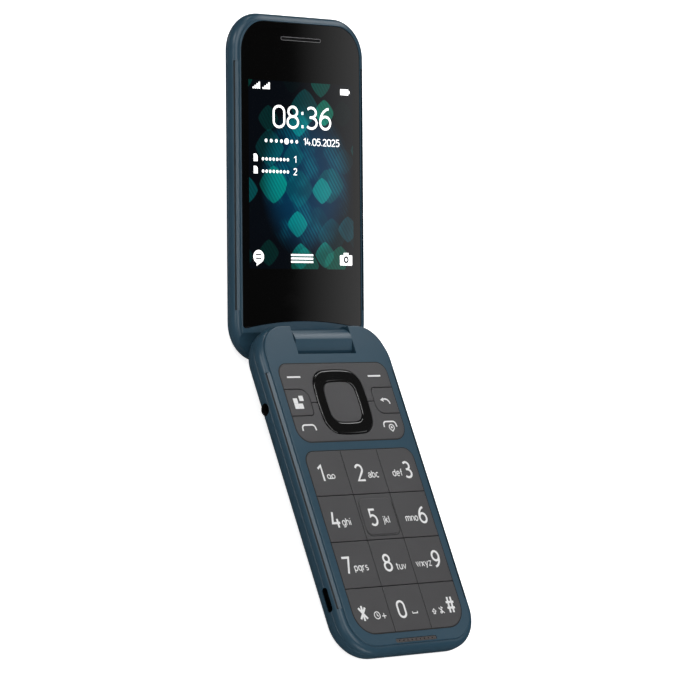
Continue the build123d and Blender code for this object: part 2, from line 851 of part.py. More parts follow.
with BuildPart() as volume_rocker:
    with BuildSketch(side_view(base, body_width / 2 - rocker_depth)):
        with Locations((rocker_y, -rocker_drop)):
            RectangleRounded(rocker_length, rocker_height, rocker_height / 2 - rocker_gap)
    extrude(amount=rocker_depth + rocker_proud)
    fillet(volume_rocker.edges().group_by(Axis.X)[-1], rocker_proud / 2)
pieces["volume_rocker"] = volume_rocker


def screws(half, spots, head_bottom, tip, direction):
    """Pan-head screws at mirrored spots, from the head's underside to the tip."""
    for x, y in mirrored(spots):
        seat = Plane(origin=at(half, x, y, -head_bottom), x_dir=half.x_dir, z_dir=half.z_dir * direction)
        with BuildSketch(seat.offset(slip_gap)) as head:
            Circle(screw_head_r)
        extrude(head.sketch, amount=screw_head_thick)
        with BuildSketch(seat.offset(slip_gap - abs(head_bottom - tip))) as shank:
            Circle(screw_shank_r - slip_gap)
        extrude(shank.sketch, amount=abs(head_bottom - tip))
        with BuildSketch(seat.offset(slip_gap + screw_head_thick - screw_recess)) as cross:
            Rectangle(screw_recess_length, screw_recess_width)
            Rectangle(screw_recess_width, screw_recess_length)
        extrude(cross.sketch, amount=2 * screw_recess, mode=Mode.SUBTRACT)


with BuildPart() as base_screws:
    screws(base, base_screw_spots, mid_floor_top + mid_floor_thick, screw_tip + screw_head_gap, -1)
pieces["base_screws"] = base_screws

# ---------------------------------------------------------------- keys
key_names = ["1", "2", "3", "4", "5", "6", "7", "8", "9", "star", "0", "hash"]
row_edges = [keypad_half_height, row_pitch, 0, -row_pitch, -keypad_half_height]
column_edges = [-keypad_half_width, -column_pitch / 2, column_pitch / 2, keypad_half_width]
for index, name in enumerate(key_names):
    row, column = divmod(index, key_columns)
    with BuildPart() as number_key:
        with BuildSketch(base.offset(-key_bottom)) as cap:
            rect(
                column_edges[column] + (key_split / 2 if column else 0),
                column_edges[column + 1] - (key_split / 2 if column < key_columns - 1 else 0),
                row_edges[row + 1] + (key_split / 2 if row < key_rows - 1 else 0),
                row_edges[row] - (key_split / 2 if row else 0),
            )
            add(keypad_plan.sketch, mode=Mode.INTERSECT)
        extrude(amount=key_bottom + key_proud)
        fillet(number_key.edges().group_by(base_up)[-1], key_edge_r)
        if name == "5":
            with BuildSketch(base.offset(key_proud - key_edge_r)):
                with Locations((0, row_pitch / 2)):
                    RectangleRounded(pad_width, pad_height, pad_r)
            extrude(amount=key_edge_r + pad_proud)
            fillet(number_key.edges().group_by(base_up)[-1], pad_edge_r)
    pieces[f"key_{name}"] = number_key


def cap_over(face):
    """A key of the navigation block from its plan, with softened top edges. It is drawn level,
    where its fillets are exact, and then laid in the keypad half."""
    with BuildPart() as cap:
        with BuildSketch(Plane.XY.offset(-key_bottom)):
            add(face.sketch)
        extrude(amount=key_bottom + key_proud)
        fillet(cap.edges().group_by(Axis.Z)[-1], key_edge_r)
    return base.location * cap.part


def bar_plan(low, high):
    """Half of the navigation block round the ring and the two side keys."""
    with BuildSketch() as face:
        rect(-nav_half_width, nav_half_width, low, high)
        add(nav_plan.sketch, mode=Mode.INTERSECT)
        squircle(*ring_outline, grow=ring_tilt_gap, mode=Mode.SUBTRACT)
        offset(shortcut_plan.sketch, amount=key_split, mode=Mode.SUBTRACT)
        offset(back_plan.sketch, amount=key_split, mode=Mode.SUBTRACT)
    return face


nav_caps = {
    "soft_key_bar": bar_plan(ring_y + key_split / 2, nav_high),
    "call_end_bar": bar_plan(nav_low, ring_y - key_split / 2),
    "shortcut_key": shortcut_plan,
    "back_key": back_plan,
}
for name, face in nav_caps.items():
    laid_cap = cap_over(face)
    with BuildPart() as nav_cap:
        add(laid_cap)
    pieces[name] = nav_cap

with BuildPart() as nav_ring:
    with BuildSketch(base.offset(-ring_bottom)):
        squircle(*ring_outline)
        squircle(*ring_hole, mode=Mode.SUBTRACT)
    extrude(amount=ring_bottom + ring_proud)
    fillet(nav_ring.edges().group_by(base_up)[-1], ring_edge_r)
pieces["nav_ring"] = nav_ring

with BuildPart() as ok_key:
    with BuildSketch(base.offset(-key_bottom)):
        squircle(*ring_hole, grow=-ring_tilt_gap)
    extrude(amount=key_bottom + key_proud)
    fillet(ok_key.edges().group_by(base_up)[-1], key_edge_r)
pieces["ok_key"] = ok_key

with BuildPart() as nav_gimbal:
    with BuildSketch(base.offset(-gimbal_top - gimbal_thick)):
        with Locations((0, ring_y)):
            RectangleRounded(2 * gimbal_half_height, 2 * gimbal_half_height, ring_corner_r)
        squircle(*ring_hole, grow=ring_tilt_gap, mode=Mode.SUBTRACT)
    extrude(amount=gimbal_thick)
    for side in (-1, 1):
        middle = side * (ring_hole_half_width + gimbal_half_height) / 2
        block(
            base, ring_bottom + stack_gap, gimbal_top,
            middle - trunnion_half_width, middle + trunnion_half_width,
            ring_y - trunnion_half_width, ring_y + trunnion_half_width,
        )
pieces["nav_gimbal"] = nav_gimbal

# ---------------------------------------------------------------- hinge
barrel_bore = can_r + slip_gap
can_start = -barrel_half + cover_gap
can_end = barrel_half - bush_insert - flex_room
flex_roll_start = can_end + flex_roll_gap
flex_roll_end = notch_half_width + flex_roll_reach


def rod(x_start, x_end, radius, bore=0.0, mode=Mode.ADD):
    """A round piece on the hinge axis between two places across the width."""
    with BuildSketch(side_view(base, x_start)) as ends:
        with Locations((hinge_y, -hinge_drop)):
            Circle(radius)
            if bore:
                Circle(bore, mode=Mode.SUBTRACT)
    extrude(ends.sketch, amount=x_end - x_start, mode=mode)


cam_start = can_start + can_wall + 2 * pin_fit
cam_end = cam_start + cam_thick
can_bore = can_r - can_wall
with BuildPart() as hinge_drive_shaft:
    rod(-notch_half_width - pin_reach + 2 * pin_fit, -notch_half_width, pin_r)
    rod(-notch_half_width, cam_start, drive_shaft_r)
    rod(cam_start, cam_end, can_bore - pin_fit)
pieces["hinge_drive_shaft"] = hinge_drive_shaft

with BuildPart() as hinge_can:
    rod(can_start, can_end, can_r)
    rod(can_start, can_end - can_wall, drive_shaft_r + pin_fit, mode=Mode.SUBTRACT)
    rod(can_start + can_wall, can_end - can_wall, can_bore, mode=Mode.SUBTRACT)
pieces["hinge_can"] = hinge_can

follower_start = cam_end + 2 * pin_fit
follower_end = follower_start + cam_thick
with BuildPart() as hinge_cam_follower:
    rod(follower_start, follower_end, can_bore - slip_gap)
pieces["hinge_cam_follower"] = hinge_cam_follower

spring_start = follower_end + spring_wire_r + slip_gap
spring_length = can_end - can_wall - spring_wire_r - slip_gap - spring_start
with BuildPart() as hinge_spring:
    with BuildLine() as coil:
        Helix(
            pitch=spring_length / spring_turns,
            height=spring_length,
            radius=spring_r,
            center=at(base, spring_start, hinge_y, -hinge_drop),
            direction=(1, 0, 0),
        )
    with BuildSketch(Plane(origin=coil.line @ 0, z_dir=coil.line % 0)):
        Circle(spring_wire_r)
    sweep()
pieces["hinge_spring"] = hinge_spring

bush_start = barrel_half - bush_insert
with BuildPart() as hinge_bush:
    rod(bush_start, notch_half_width + pin_reach - 2 * pin_fit, pin_r, bush_bore_r)
pieces["hinge_bush"] = hinge_bush

with BuildPart() as hinge_flex_roll:
    rod(flex_roll_start, flex_roll_end, flex_roll_r)
pieces["hinge_flex_roll"] = hinge_flex_roll

tail_x = notch_half_width + pin_reach + cover_gap
tail_top = base_seam + base_flex_drop
with BuildPart() as base_flex_tail:
    block(
        base, tail_top, tail_top + flex_thick,
        tail_x, tail_x + base_flex_width, base_flex_start, hinge_y + flex_roll_r,
    )
    block(
        base, tail_top, hinge_drop + flex_roll_r,
        tail_x, tail_x + flex_thick, hinge_y - flex_roll_r, hinge_y + flex_roll_r,
    )
pieces["base_flex_tail"] = base_flex_tail

# ---------------------------------------------------------------- screen half
lid_board_top = lid_seam + lid_board_gap
lid_board_bottom = lid_board_top + board_thick
glass_foot = glass_recess + glass_thick
shoulder_corner = sqrt(
    (hinge_end - plateau_hinge_inset - plateau_edge_r - hinge_y) ** 2 + (hinge_drop - plateau_edge_r) ** 2
)
trough_r = shoulder_corner + plateau_edge_r + trough_clearance
panel_half_width = screen_width / 2 + panel_border
panel_low = screen_low - panel_foot
panel_high = screen_low + screen_height + panel_border


def glass_outline(grow=0.0):
    """The screen glass's plan with its bowed foot, wider by a gap for its recess."""
    side, low, high = glass_half_width + grow, glass_low - grow, glass_high + grow
    with BuildSketch() as face:
        with BuildLine():
            ThreePointArc((-side, low), (0, glass_arch - grow), (side, low))
            Polyline((side, low), (side, high), (-side, high), (-side, low))
        make_face()
        fillet(face.vertices().group_by(Axis.Y)[-1], glass_corner_r + grow)
        fillet(face.vertices().group_by(Axis.Y)[0], glass_hinge_r + grow)
    return face


with BuildPart() as lid_inner_frame:
    with BuildSketch(lid.offset(-lid_seam)):
        plan(-lid_tail, lid_far)
    extrude(amount=lid_seam - plateau_drop)
    fillet(lid_inner_frame.edges().group_by(lid_up)[-1], bead_r)
    chamfer(lid_inner_frame.edges().group_by(lid_up)[0], seam_chamfer)
    with BuildSketch(lid.offset(-plateau_root)):
        plan(-lid_tail + plateau_hinge_inset, lid_far - lid_plateau_far_inset, plateau_inset)
    extrude(amount=plateau_root)
    fillet(lid_inner_frame.edges().group_by(lid_up)[-1], plateau_edge_r)
    grooves(lid, groove_start, groove_end - groove_start)
    for side in (-1, 1):
        with BuildSketch(side_view(lid, side * barrel_half)):
            with Locations((0, axis_to_lid)):
                Circle(trough_r)
            rect(-2 * lid_tail, 0, axis_to_lid - trough_r, over)
        extrude(amount=side * body_width, mode=Mode.SUBTRACT)
    with BuildSketch(side_view(lid, -barrel_half)):
        with Locations((0, axis_to_lid)):
            Circle(barrel_r)
        rect(-web_back, web_front, -glass_foot, axis_to_lid)
    extrude(amount=2 * barrel_half)
    block(
        lid, -2 * axis_to_lid, -axis_to_lid - barrel_flat,
        -barrel_half, barrel_half, -barrel_r, barrel_r,
        mode=Mode.SUBTRACT,
    )
    rod(-barrel_half, can_end + cover_gap, barrel_bore, mode=Mode.SUBTRACT)
    rod(can_end + can_wall, barrel_half, pin_r + pin_fit, mode=Mode.SUBTRACT)
    with BuildSketch(lid.offset(-glass_foot)):
        add(glass_outline(glass_gap).sketch)
    extrude(amount=glass_foot + over, mode=Mode.SUBTRACT)
    block(
        lid, 0, lid_seam + over,
        -panel_half_width - panel_fit, panel_half_width + panel_fit,
        panel_low - panel_fit, panel_high + panel_fit,
        mode=Mode.SUBTRACT,
    )
    block(
        lid, 0, lid_seam + over,
        -earpiece_length / 2 - earpiece_fit, earpiece_length / 2 + earpiece_fit,
        earpiece_v - earpiece_height / 2 - earpiece_fit, earpiece_v + earpiece_height / 2 + earpiece_fit,
        mode=Mode.SUBTRACT,
    )
    block(
        lid, chin_floor, lid_seam + over,
        -chin_half_width, chin_half_width, chin_low, chin_high,
        mode=Mode.SUBTRACT,
    )
    with BuildSketch(lid.offset(-lid_seam)):
        with Locations(*mirrored(lid_screw_spots)):
            Circle(lid_boss_r)
    extrude(amount=lid_seam - chin_floor)
    with BuildSketch(lid.offset(-lid_seam)):
        with Locations(*mirrored(lid_screw_spots)):
            Circle(screw_hole_r)
    extrude(amount=lid_seam, mode=Mode.SUBTRACT)
    with BuildSketch(lid.offset(-glass_foot - lid_screw_head_depth)):
        with Locations(*mirrored(lid_screw_spots)):
            Circle(screw_head_r + screw_head_gap)
    extrude(amount=lid_seam, mode=Mode.SUBTRACT)
    with BuildSketch(lid.offset(-lid_seam)):
        rect(
            flex_roll_start - flex_slot_gap, flex_roll_start + flex_width + flex_slot_gap,
            -flex_slot, flex_slot,
        )
    extrude(amount=lid_seam + axis_to_lid, mode=Mode.SUBTRACT)
pieces["lid_inner_frame"] = lid_inner_frame

with BuildPart() as lid_outer_shell:
    with BuildSketch(lid.offset(-lid_thick)):
        plan(-lid_tail, lid_far)
    extrude(amount=lid_thick - lid_seam)
    back = lid_outer_shell.faces().sort_by(lid_up)[0]
    chamfer(back.edges(), lid_slope_reach, lid_thick - lid_seam - lid_side, reference=back)
    fillet(lid_outer_shell.edges().group_by(lid_up)[2], lid_edge_r)
    fillet(lid_outer_shell.edges().group_by(lid_up)[0], lid_slope_r)
    chamfer(lid_outer_shell.edges().group_by(lid_up)[-1], seam_chamfer)
    with BuildSketch(lid.offset(-lid_thick + lid_back_wall)):
        plan(lid_cavity_low, lid_far - lid_wall, lid_wall)
    extrude(amount=lid_thick, mode=Mode.SUBTRACT)
    with BuildSketch(lid.offset(-lid_thick + lid_back_wall)):
        with Locations(*mirrored(lid_screw_spots)):
            Circle(lid_boss_r)
    extrude(amount=lid_thick - lid_back_wall - lid_seam)
    with BuildSketch(lid.offset(-lid_screw_end - screw_recess)):
        with Locations(*mirrored(lid_screw_spots)):
            Circle(screw_shank_r)
    extrude(amount=lid_thick, mode=Mode.SUBTRACT)
    with BuildSketch(lid.offset(-lid_thick - over)):
        with Locations((0, (window_low + window_high) / 2)):
            RectangleRounded(
                2 * (window_half_width + window_fit),
                window_high - window_low + 2 * window_fit,
                window_r,
            )
    extrude(amount=over + window_thick + window_fit, mode=Mode.SUBTRACT)
    with BuildSketch(lid.offset(-lid_thick)):
        with Locations((0, outer_panel_v)):
            Rectangle(outer_panel_width - window_ledge, outer_panel_height - window_ledge)
        with Locations((0, camera_v)):
            Circle(camera_lens_r + camera_hole_gap)
        with Locations((flash_x, camera_v)):
            Circle(flash_r + camera_hole_gap)
    extrude(amount=lid_thick, mode=Mode.SUBTRACT)
pieces["lid_outer_shell"] = lid_outer_shell

with BuildPart() as screen_glass:
    with BuildSketch(lid.offset(-glass_foot)):
        add(glass_outline().sketch)
        with Locations((0, earpiece_v)):
            SlotOverall(earpiece_slot_width, earpiece_slot_height, mode=Mode.SUBTRACT)
    extrude(amount=glass_thick)
    fillet(screen_glass.edges().group_by(lid_up)[-1], glass_edge_r)
pieces["screen_glass"] = screen_glass

with BuildPart() as display_panel:
    panel_top = glass_foot + panel_gap
    block(lid, panel_top, panel_top + panel_thick, -panel_half_width, panel_half_width, panel_low, panel_high)
pieces["display_panel"] = display_panel

with BuildPart() as earpiece_speaker:
    block(
        lid, glass_foot + panel_gap, glass_foot + panel_gap + earpiece_thick,
        -earpiece_length / 2, earpiece_length / 2,
        earpiece_v - earpiece_height / 2, earpiece_v + earpiece_height / 2,
    )
pieces["earpiece_speaker"] = earpiece_speaker

with BuildPart() as earpiece_mesh:
    with BuildSketch(lid.offset(-glass_recess - mesh_depth - mesh_thick)):
        with Locations((0, earpiece_v)):
            SlotOverall(earpiece_slot_width - 2 * mesh_inset, earpiece_slot_height - 2 * mesh_inset)
            with GridLocations(earpiece_slot_width / (mesh_holes + 2), 0, mesh_holes, 1):
                Circle(mesh_hole_r, mode=Mode.SUBTRACT)
    extrude(amount=mesh_thick)
pieces["earpiece_mesh"] = earpiece_mesh

with BuildPart() as lid_board:
    with BuildSketch(lid.offset(-lid_board_bottom)):
        plan(lid_board_low, lid_board_high, lid_wall + lid_board_inset)
        with Locations(*mirrored(lid_screw_spots)):
            Circle(lid_boss_r + fit_gap, mode=Mode.SUBTRACT)
    extrude(amount=board_thick)
pieces["lid_board"] = lid_board

window_inner = lid_thick - window_thick - window_fit
with BuildPart() as outer_window:
    with BuildSketch(lid.offset(-lid_thick)):
        with Locations((0, (window_low + window_high) / 2)):
            RectangleRounded(2 * window_half_width, window_high - window_low, window_r)
    extrude(amount=window_thick)
pieces["outer_window"] = outer_window

cavity_floor = lid_thick - lid_back_wall
with BuildPart() as outer_display:
    with BuildSketch(lid.offset(-cavity_floor + outer_panel_gap)):
        with Locations((0, outer_panel_v)):
            Rectangle(outer_panel_width, outer_panel_height)
    extrude(amount=cavity_floor - lid_board_bottom - 2 * outer_panel_gap)
pieces["outer_display"] = outer_display

with BuildPart() as camera_module:
    with BuildSketch(lid.offset(-cavity_floor + outer_panel_gap)):
        with Locations((0, camera_v)):
            RectangleRounded(camera_size, camera_size, camera_corner_r)
    extrude(amount=cavity_floor - lid_board_bottom - 2 * outer_panel_gap)
    with BuildSketch(lid.offset(-window_inner + window_fit)):
        with Locations((0, camera_v)):
            Circle(camera_lens_r)
    extrude(amount=window_inner - cavity_floor + lens_overlap)
    with BuildSketch(lid.offset(-window_inner + window_fit)):
        with Locations((0, camera_v)):
            Circle(camera_pupil_r)
    extrude(amount=camera_pupil_depth, mode=Mode.SUBTRACT)
pieces["camera_module"] = camera_module

with BuildPart() as flash_led:
    with BuildSketch(lid.offset(-window_inner + window_fit)):
        with Locations((flash_x, camera_v)):
            Circle(flash_r)
    extrude(amount=window_inner - window_fit - lid_board_bottom - outer_panel_gap)
pieces["flash_led"] = flash_led

with BuildPart() as lid_flex_tail:
    tail_depth = lid_board_bottom - flex_thick
    block(
        lid, -axis_to_lid + flex_roll_r, tail_depth + flex_thick,
        flex_roll_start, flex_roll_start + flex_width, -flex_thick / 2, flex_thick / 2,
    )
    block(
        lid, tail_depth, tail_depth + flex_thick,
        flex_roll_start, flex_roll_start + flex_width, -flex_thick / 2, lid_board_low - cover_gap,
    )
pieces["lid_flex_tail"] = lid_flex_tail

with BuildPart() as lid_screws:
    screws(lid, lid_screw_spots, glass_foot + lid_screw_head_depth, lid_screw_end, 1)
pieces["lid_screws"] = lid_screws

# ---------------------------------------------------------------- files
os.makedirs("parts", exist_ok=True)
for label, piece in pieces.items():
    piece.part.label = label
    export_step(piece.part, f"parts/{label}.step")
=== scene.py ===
"""Looks of a flip phone: finishes, printed legends, lit displays, lenses and the studio."""

import json
import math

import bpy
import numpy as np
from mathutils import Matrix


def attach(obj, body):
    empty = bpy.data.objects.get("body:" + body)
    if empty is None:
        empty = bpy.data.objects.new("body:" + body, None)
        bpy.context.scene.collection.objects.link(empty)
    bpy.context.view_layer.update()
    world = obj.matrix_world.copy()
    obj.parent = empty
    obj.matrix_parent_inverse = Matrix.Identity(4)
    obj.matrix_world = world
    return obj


bl_info = {
    "name": "Flip phone looks",
    "version": (1, 0, 0),
    "blender": (4, 5, 0),
    "location": "3D View > Sidebar > Phone",
    "description": "Dresses the packed flip phone and sets up its studio",
    "category": "Object",
}

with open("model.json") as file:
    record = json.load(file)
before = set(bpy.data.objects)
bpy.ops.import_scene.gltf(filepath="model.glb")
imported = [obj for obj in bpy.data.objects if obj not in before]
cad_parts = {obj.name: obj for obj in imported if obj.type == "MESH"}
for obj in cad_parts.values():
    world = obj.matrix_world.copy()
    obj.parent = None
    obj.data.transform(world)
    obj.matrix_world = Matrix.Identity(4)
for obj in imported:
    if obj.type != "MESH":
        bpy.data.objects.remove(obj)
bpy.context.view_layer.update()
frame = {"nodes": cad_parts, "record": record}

MM = 0.001
TURN = 2 * math.pi


def joint(name):
    """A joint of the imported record."""
    return next(j for j in frame["record"]["behaviour"]["joints"] if j["name"] == name)


# ---------------------------------------------------------------- planes of the two halves, in mm
ACROSS = np.array([1.0, 0.0, 0.0])
BASE_UP = -np.array(joint("press_5")["axis"])
BASE_ALONG = -np.array(joint("back_cover_slide")["axis"])
RING_MIDDLE = np.array(joint("nav_tilt_side")["pos_m"])
RING_Y = 45.0  # of the ring's middle, from the keypad's middle line
GIMBAL_DROP = 1.15
BASE_ORIGIN = RING_MIDDLE - RING_Y * MM * BASE_ALONG + GIMBAL_DROP * MM * BASE_UP
HINGE = joint("flip_lid")
LIFT = math.pi - math.radians(HINGE["range_deg"][1])
LID_ALONG = math.cos(LIFT) * BASE_ALONG + math.sin(LIFT) * BASE_UP
LID_UP = math.cos(LIFT) * BASE_UP - math.sin(LIFT) * BASE_ALONG
AXIS_TO_LID = 5.05
LID_ORIGIN = np.array(HINGE["pos_m"]) - AXIS_TO_LID * MM * LID_UP
LID_LEAN = math.atan2(LID_ALONG[2], LID_ALONG[1])

KEY_TOP = 0.15  # above the keypad face
PAD_PROUD = 0.25  # the middle key's pad, above the key
GLASS_TOP = -0.15  # the screen glass lies below the lid's inner face
SCREEN_LOW = 23.31  # foot of the lit area, from the hinge axis
SCREEN_HALF_WIDTH = 21.6
SCREEN_HEIGHT = 57.6
LID_BACK = -6.7  # the outer window lies below the lid's inner face
# places along the screen half, from the hinge axis, and across from its middle
OUTER_SCREEN_V = 49.0
CAMERA_V = 16.0
FLASH_X = 9.4
EARPIECE_V = 94.1
EARPIECE_HALF_WIDTH = 8.2
EARPIECE_HALF_HEIGHT = 0.5
EARPIECE_RIM = 0.16  # width of its rim, which stands this much above the glass
EARPIECE_LIFT = 0.01


def on_base(points):
    """Places in the keypad half, in mm across, along and up, as points of the phone's frame."""
    p = np.asarray(points, float) * MM
    return BASE_ORIGIN + p[:, :1] * ACROSS + p[:, 1:2] * BASE_ALONG + p[:, 2:] * BASE_UP


def on_lid(points):
    """Places in the screen half, in mm across, along and up, as points of the phone's frame."""
    p = np.asarray(points, float) * MM
    return LID_ORIGIN + p[:, :1] * ACROSS + p[:, 1:2] * LID_ALONG + p[:, 2:] * LID_UP


def on_lid_back(points):
    """Places on the back of the screen half: across is mirrored and up points backwards."""
    p = np.array(points, float)
    p[:, 0] *= -1
    p[:, 2] = LID_BACK - p[:, 2]
    return on_lid(p)


# ---------------------------------------------------------------- what a user may change
class PhoneSettings(bpy.types.PropertyGroup):
    """Colours of the phone, and sizes of what is printed on it"""

    shell_colour: bpy.props.FloatVectorProperty(
        name="Shell", description="Colour of the housings",
        subtype="COLOR", size=3, default=(0.026, 0.066, 0.100),
    )
    key_colour: bpy.props.FloatVectorProperty(
        name="Keys", description="Colour of the keys",
        subtype="COLOR", size=3, default=(0.068, 0.067, 0.070),
    )
    legend_colour: bpy.props.FloatVectorProperty(
        name="Legends", description="Colour of the printed legends",
        subtype="COLOR", size=3, default=(0.9, 0.9, 0.9),
    )
    glow_colour: bpy.props.FloatVectorProperty(
        name="Glow", description="Brightest colour of the wallpaper",
        subtype="COLOR", size=3, default=(0.0, 0.62, 0.38),
    )
    deep_colour: bpy.props.FloatVectorProperty(
        name="Deep", description="Darkest colour of the wallpaper",
        subtype="COLOR", size=3, default=(0.0, 0.03, 0.075),
    )
    digit_height: bpy.props.FloatProperty(
        name="Digit height", description="Height of the digits on the keys",
        default=5.0 * MM, unit="LENGTH",
    )
    letter_height: bpy.props.FloatProperty(
        name="Letter height", description="Height of the letters on the keys",
        default=2.15 * MM, unit="LENGTH",
    )
    digit_stroke: bpy.props.FloatProperty(
        name="Digit stroke", description="Width of a digit's line",
        default=0.7 * MM, unit="LENGTH",
    )
    letter_stroke: bpy.props.FloatProperty(
        name="Letter stroke", description="Width of a letter's line",
        default=0.3 * MM, unit="LENGTH",
    )
    print_height: bpy.props.FloatProperty(
        name="Print height", description="How far printed ink stands proud",
        default=0.02 * MM, unit="LENGTH",
    )


def settings():
    """The values that a user may change, as they are now."""
    return bpy.context.scene.phone_settings


# ---------------------------------------------------------------- glyphs as strokes
def arc(cx, cy, rx, ry, start, end, steps=14):
    """Points of an ellipse's arc: centre plus radii times cosine and sine of evenly spaced angles."""
    a = np.radians(np.linspace(start, end, steps))
    return np.column_stack([cx + rx * np.cos(a), cy + ry * np.sin(a)])


def path(*parts):
    """One stroke from points and arcs, in order, without repeated points."""
    rows = np.vstack([np.atleast_2d(np.asarray(part, float)) for part in parts])
    apart = np.linalg.norm(np.diff(rows, axis=0), axis=1) > 1e-6
    return rows[np.concatenate([[True], apart])]


def bowl(cx):
    """A closed round bowl of a small letter."""
    return path(arc(cx, 0.35, 0.21, 0.35, 0, 360, 25))


# each glyph is its width and its strokes, for a digit height of 1
GLYPHS = {
    "0": (0.56, [
        path(arc(0.28, 0.72, 0.28, 0.28, 0, 180), arc(0.28, 0.28, 0.28, 0.28, 180, 360), (0.56, 0.72)),
    ]),
    "1": (0.34, [path((0.02, 0.8), (0.3, 1), (0.3, 0))]),
    "2": (0.56, [path(arc(0.27, 0.73, 0.26, 0.27, 162, -38), (0.02, 0.0), (0.57, 0.0))]),
    "3": (0.54, [
        path(arc(0.24, 0.765, 0.25, 0.235, 140, -90), (0.16, 0.53)),
        path((0.16, 0.53), arc(0.24, 0.265, 0.29, 0.265, 90, -140)),
    ]),
    "4": (0.58, [path((0.2, 1.0), (0.02, 0.3), (0.6, 0.3)), path((0.43, 0.56), (0.43, 0.0))]),
    "5": (0.54, [path((0.5, 1), (0.08, 1), (0.06, 0.57), arc(0.23, 0.32, 0.29, 0.32, 112, -138))]),
    "6": (0.56, [
        path(arc(0.28, 0.3, 0.27, 0.3, 0, 360, 27)),
        path(arc(0.56, 0.33, 0.55, 0.67, 100, 180)),
    ]),
    "7": (0.54, [path((0.0, 1), (0.54, 1), (0.24, 0.0))]),
    "8": (0.56, [
        path(arc(0.28, 0.765, 0.23, 0.235, 0, 360, 25)),
        path(arc(0.28, 0.27, 0.28, 0.27, 0, 360, 25)),
    ]),
    "9": (0.56, [
        path(arc(0.28, 0.7, 0.27, 0.3, 0, 360, 27)),
        path(arc(0.0, 0.67, 0.55, 0.67, -80, 0)),
    ]),
    "a": (0.42, [
        path(arc(0.2, 0.2, 0.19, 0.2, 0, 360, 21)),
        path((0.05, 0.6), arc(0.22, 0.49, 0.19, 0.21, 110, 0), (0.41, 0.0)),
    ]),
    "b": (0.44, [bowl(0.23), path((0.02, 1.0), (0.02, 0.0))]),
    "c": (0.38, [path(arc(0.21, 0.35, 0.21, 0.35, 50, 310))]),
    "d": (0.44, [bowl(0.21), path((0.42, 1.0), (0.42, 0.0))]),
    "e": (0.42, [path((0.02, 0.37), (0.42, 0.37), arc(0.21, 0.35, 0.21, 0.35, 8, 310))]),
    "f": (0.28, [path(arc(0.26, 0.82, 0.15, 0.18, 85, 180), (0.11, 0.0)), path((0.0, 0.66), (0.27, 0.66))]),
    "g": (0.42, [bowl(0.21), path((0.42, 0.7), (0.42, 0.0), arc(0.21, -0.04, 0.21, 0.22, 0, -130))]),
    "h": (0.42, [
        path((0.02, 1.0), (0.02, 0.0)),
        path((0.02, 0.42), arc(0.22, 0.44, 0.2, 0.26, 180, 0), (0.42, 0.0)),
    ]),
    "i": (0.08, [path((0.04, 0.7), (0.04, 0.0)), path((0.04, 0.98), (0.04, 0.86))]),
    "j": (0.14, [
        path((0.1, 0.7), (0.1, 0.0), arc(-0.03, -0.04, 0.13, 0.2, 0, -80)),
        path((0.1, 0.98), (0.1, 0.86)),
    ]),
    "k": (0.38, [
        path((0.02, 1.0), (0.02, 0.0)),
        path((0.37, 0.7), (0.05, 0.33)),
        path((0.13, 0.42), (0.39, 0.0)),
    ]),
    "l": (0.08, [path((0.04, 1.0), (0.04, 0.0))]),
    "m": (0.66, [
        path((0.02, 0.7), (0.02, 0.0)),
        path((0.02, 0.42), arc(0.18, 0.5, 0.16, 0.2, 180, 0), (0.34, 0.0)),
        path((0.34, 0.42), arc(0.5, 0.5, 0.16, 0.2, 180, 0), (0.66, 0.0)),
    ]),
    "n": (0.42, [
        path((0.02, 0.7), (0.02, 0.0)),
        path((0.02, 0.42), arc(0.22, 0.44, 0.2, 0.26, 180, 0), (0.42, 0.0)),
    ]),
    "o": (0.42, [bowl(0.21)]),
    "p": (0.44, [bowl(0.23), path((0.02, 0.7), (0.02, -0.28))]),
    "q": (0.44, [bowl(0.21), path((0.42, 0.7), (0.42, -0.28))]),
    "r": (0.28, [path((0.02, 0.7), (0.02, 0.0)), path((0.02, 0.4), arc(0.22, 0.42, 0.2, 0.28, 180, 75))]),
    "s": (0.36, [path(arc(0.18, 0.53, 0.16, 0.17, 40, 270), arc(0.18, 0.18, 0.17, 0.18, 90, -140))]),
    "t": (0.28, [
        path((0.12, 0.92), (0.12, 0.16), arc(0.24, 0.16, 0.12, 0.16, 180, 280)),
        path((0.0, 0.66), (0.27, 0.66)),
    ]),
    "u": (0.42, [
        path((0.02, 0.7), arc(0.22, 0.26, 0.2, 0.26, 180, 360), (0.42, 0.7)),
        path((0.42, 0.3), (0.42, 0.0)),
    ]),
    "v": (0.42, [path((0.0, 0.7), (0.21, 0.02), (0.42, 0.7))]),
    "w": (0.62, [path((0.0, 0.7), (0.16, 0.02), (0.31, 0.68), (0.46, 0.02), (0.62, 0.7))]),
    "x": (0.4, [path((0.0, 0.7), (0.4, 0.0)), path((0.4, 0.7), (0.0, 0.0))]),
    "y": (0.42, [path((0.0, 0.7), (0.21, 0.04)), path((0.42, 0.7), (0.12, -0.28))]),
    "z": (0.38, [path((0.0, 0.69), (0.38, 0.69), (0.0, 0.01), (0.38, 0.01))]),
    ":": (0.12, [path((0.06, 0.78), (0.06, 0.64)), path((0.06, 0.14), (0.06, 0.0))]),
    ".": (0.1, [path((0.05, 0.11), (0.05, 0.0))]),
    "*": (0.62, [
        path((0.31, 0.98), (0.31, 0.04)),
        path((0.04, 0.86), (0.58, 0.16)),
        path((0.58, 0.86), (0.04, 0.16)),
    ]),
    "#": (0.62, [
        path((0.2, 1.0), (0.16, 0.0)), path((0.48, 1.0), (0.44, 0.0)),
        path((0.0, 0.67), (0.64, 0.67)), path((0.0, 0.31), (0.62, 0.31)),
    ]),
    "+": (0.5, [path((0.25, 0.62), (0.25, 0.12)), path((0.0, 0.37), (0.5, 0.37))]),
}
GLYPH_SPACE = 0.17  # between two letters


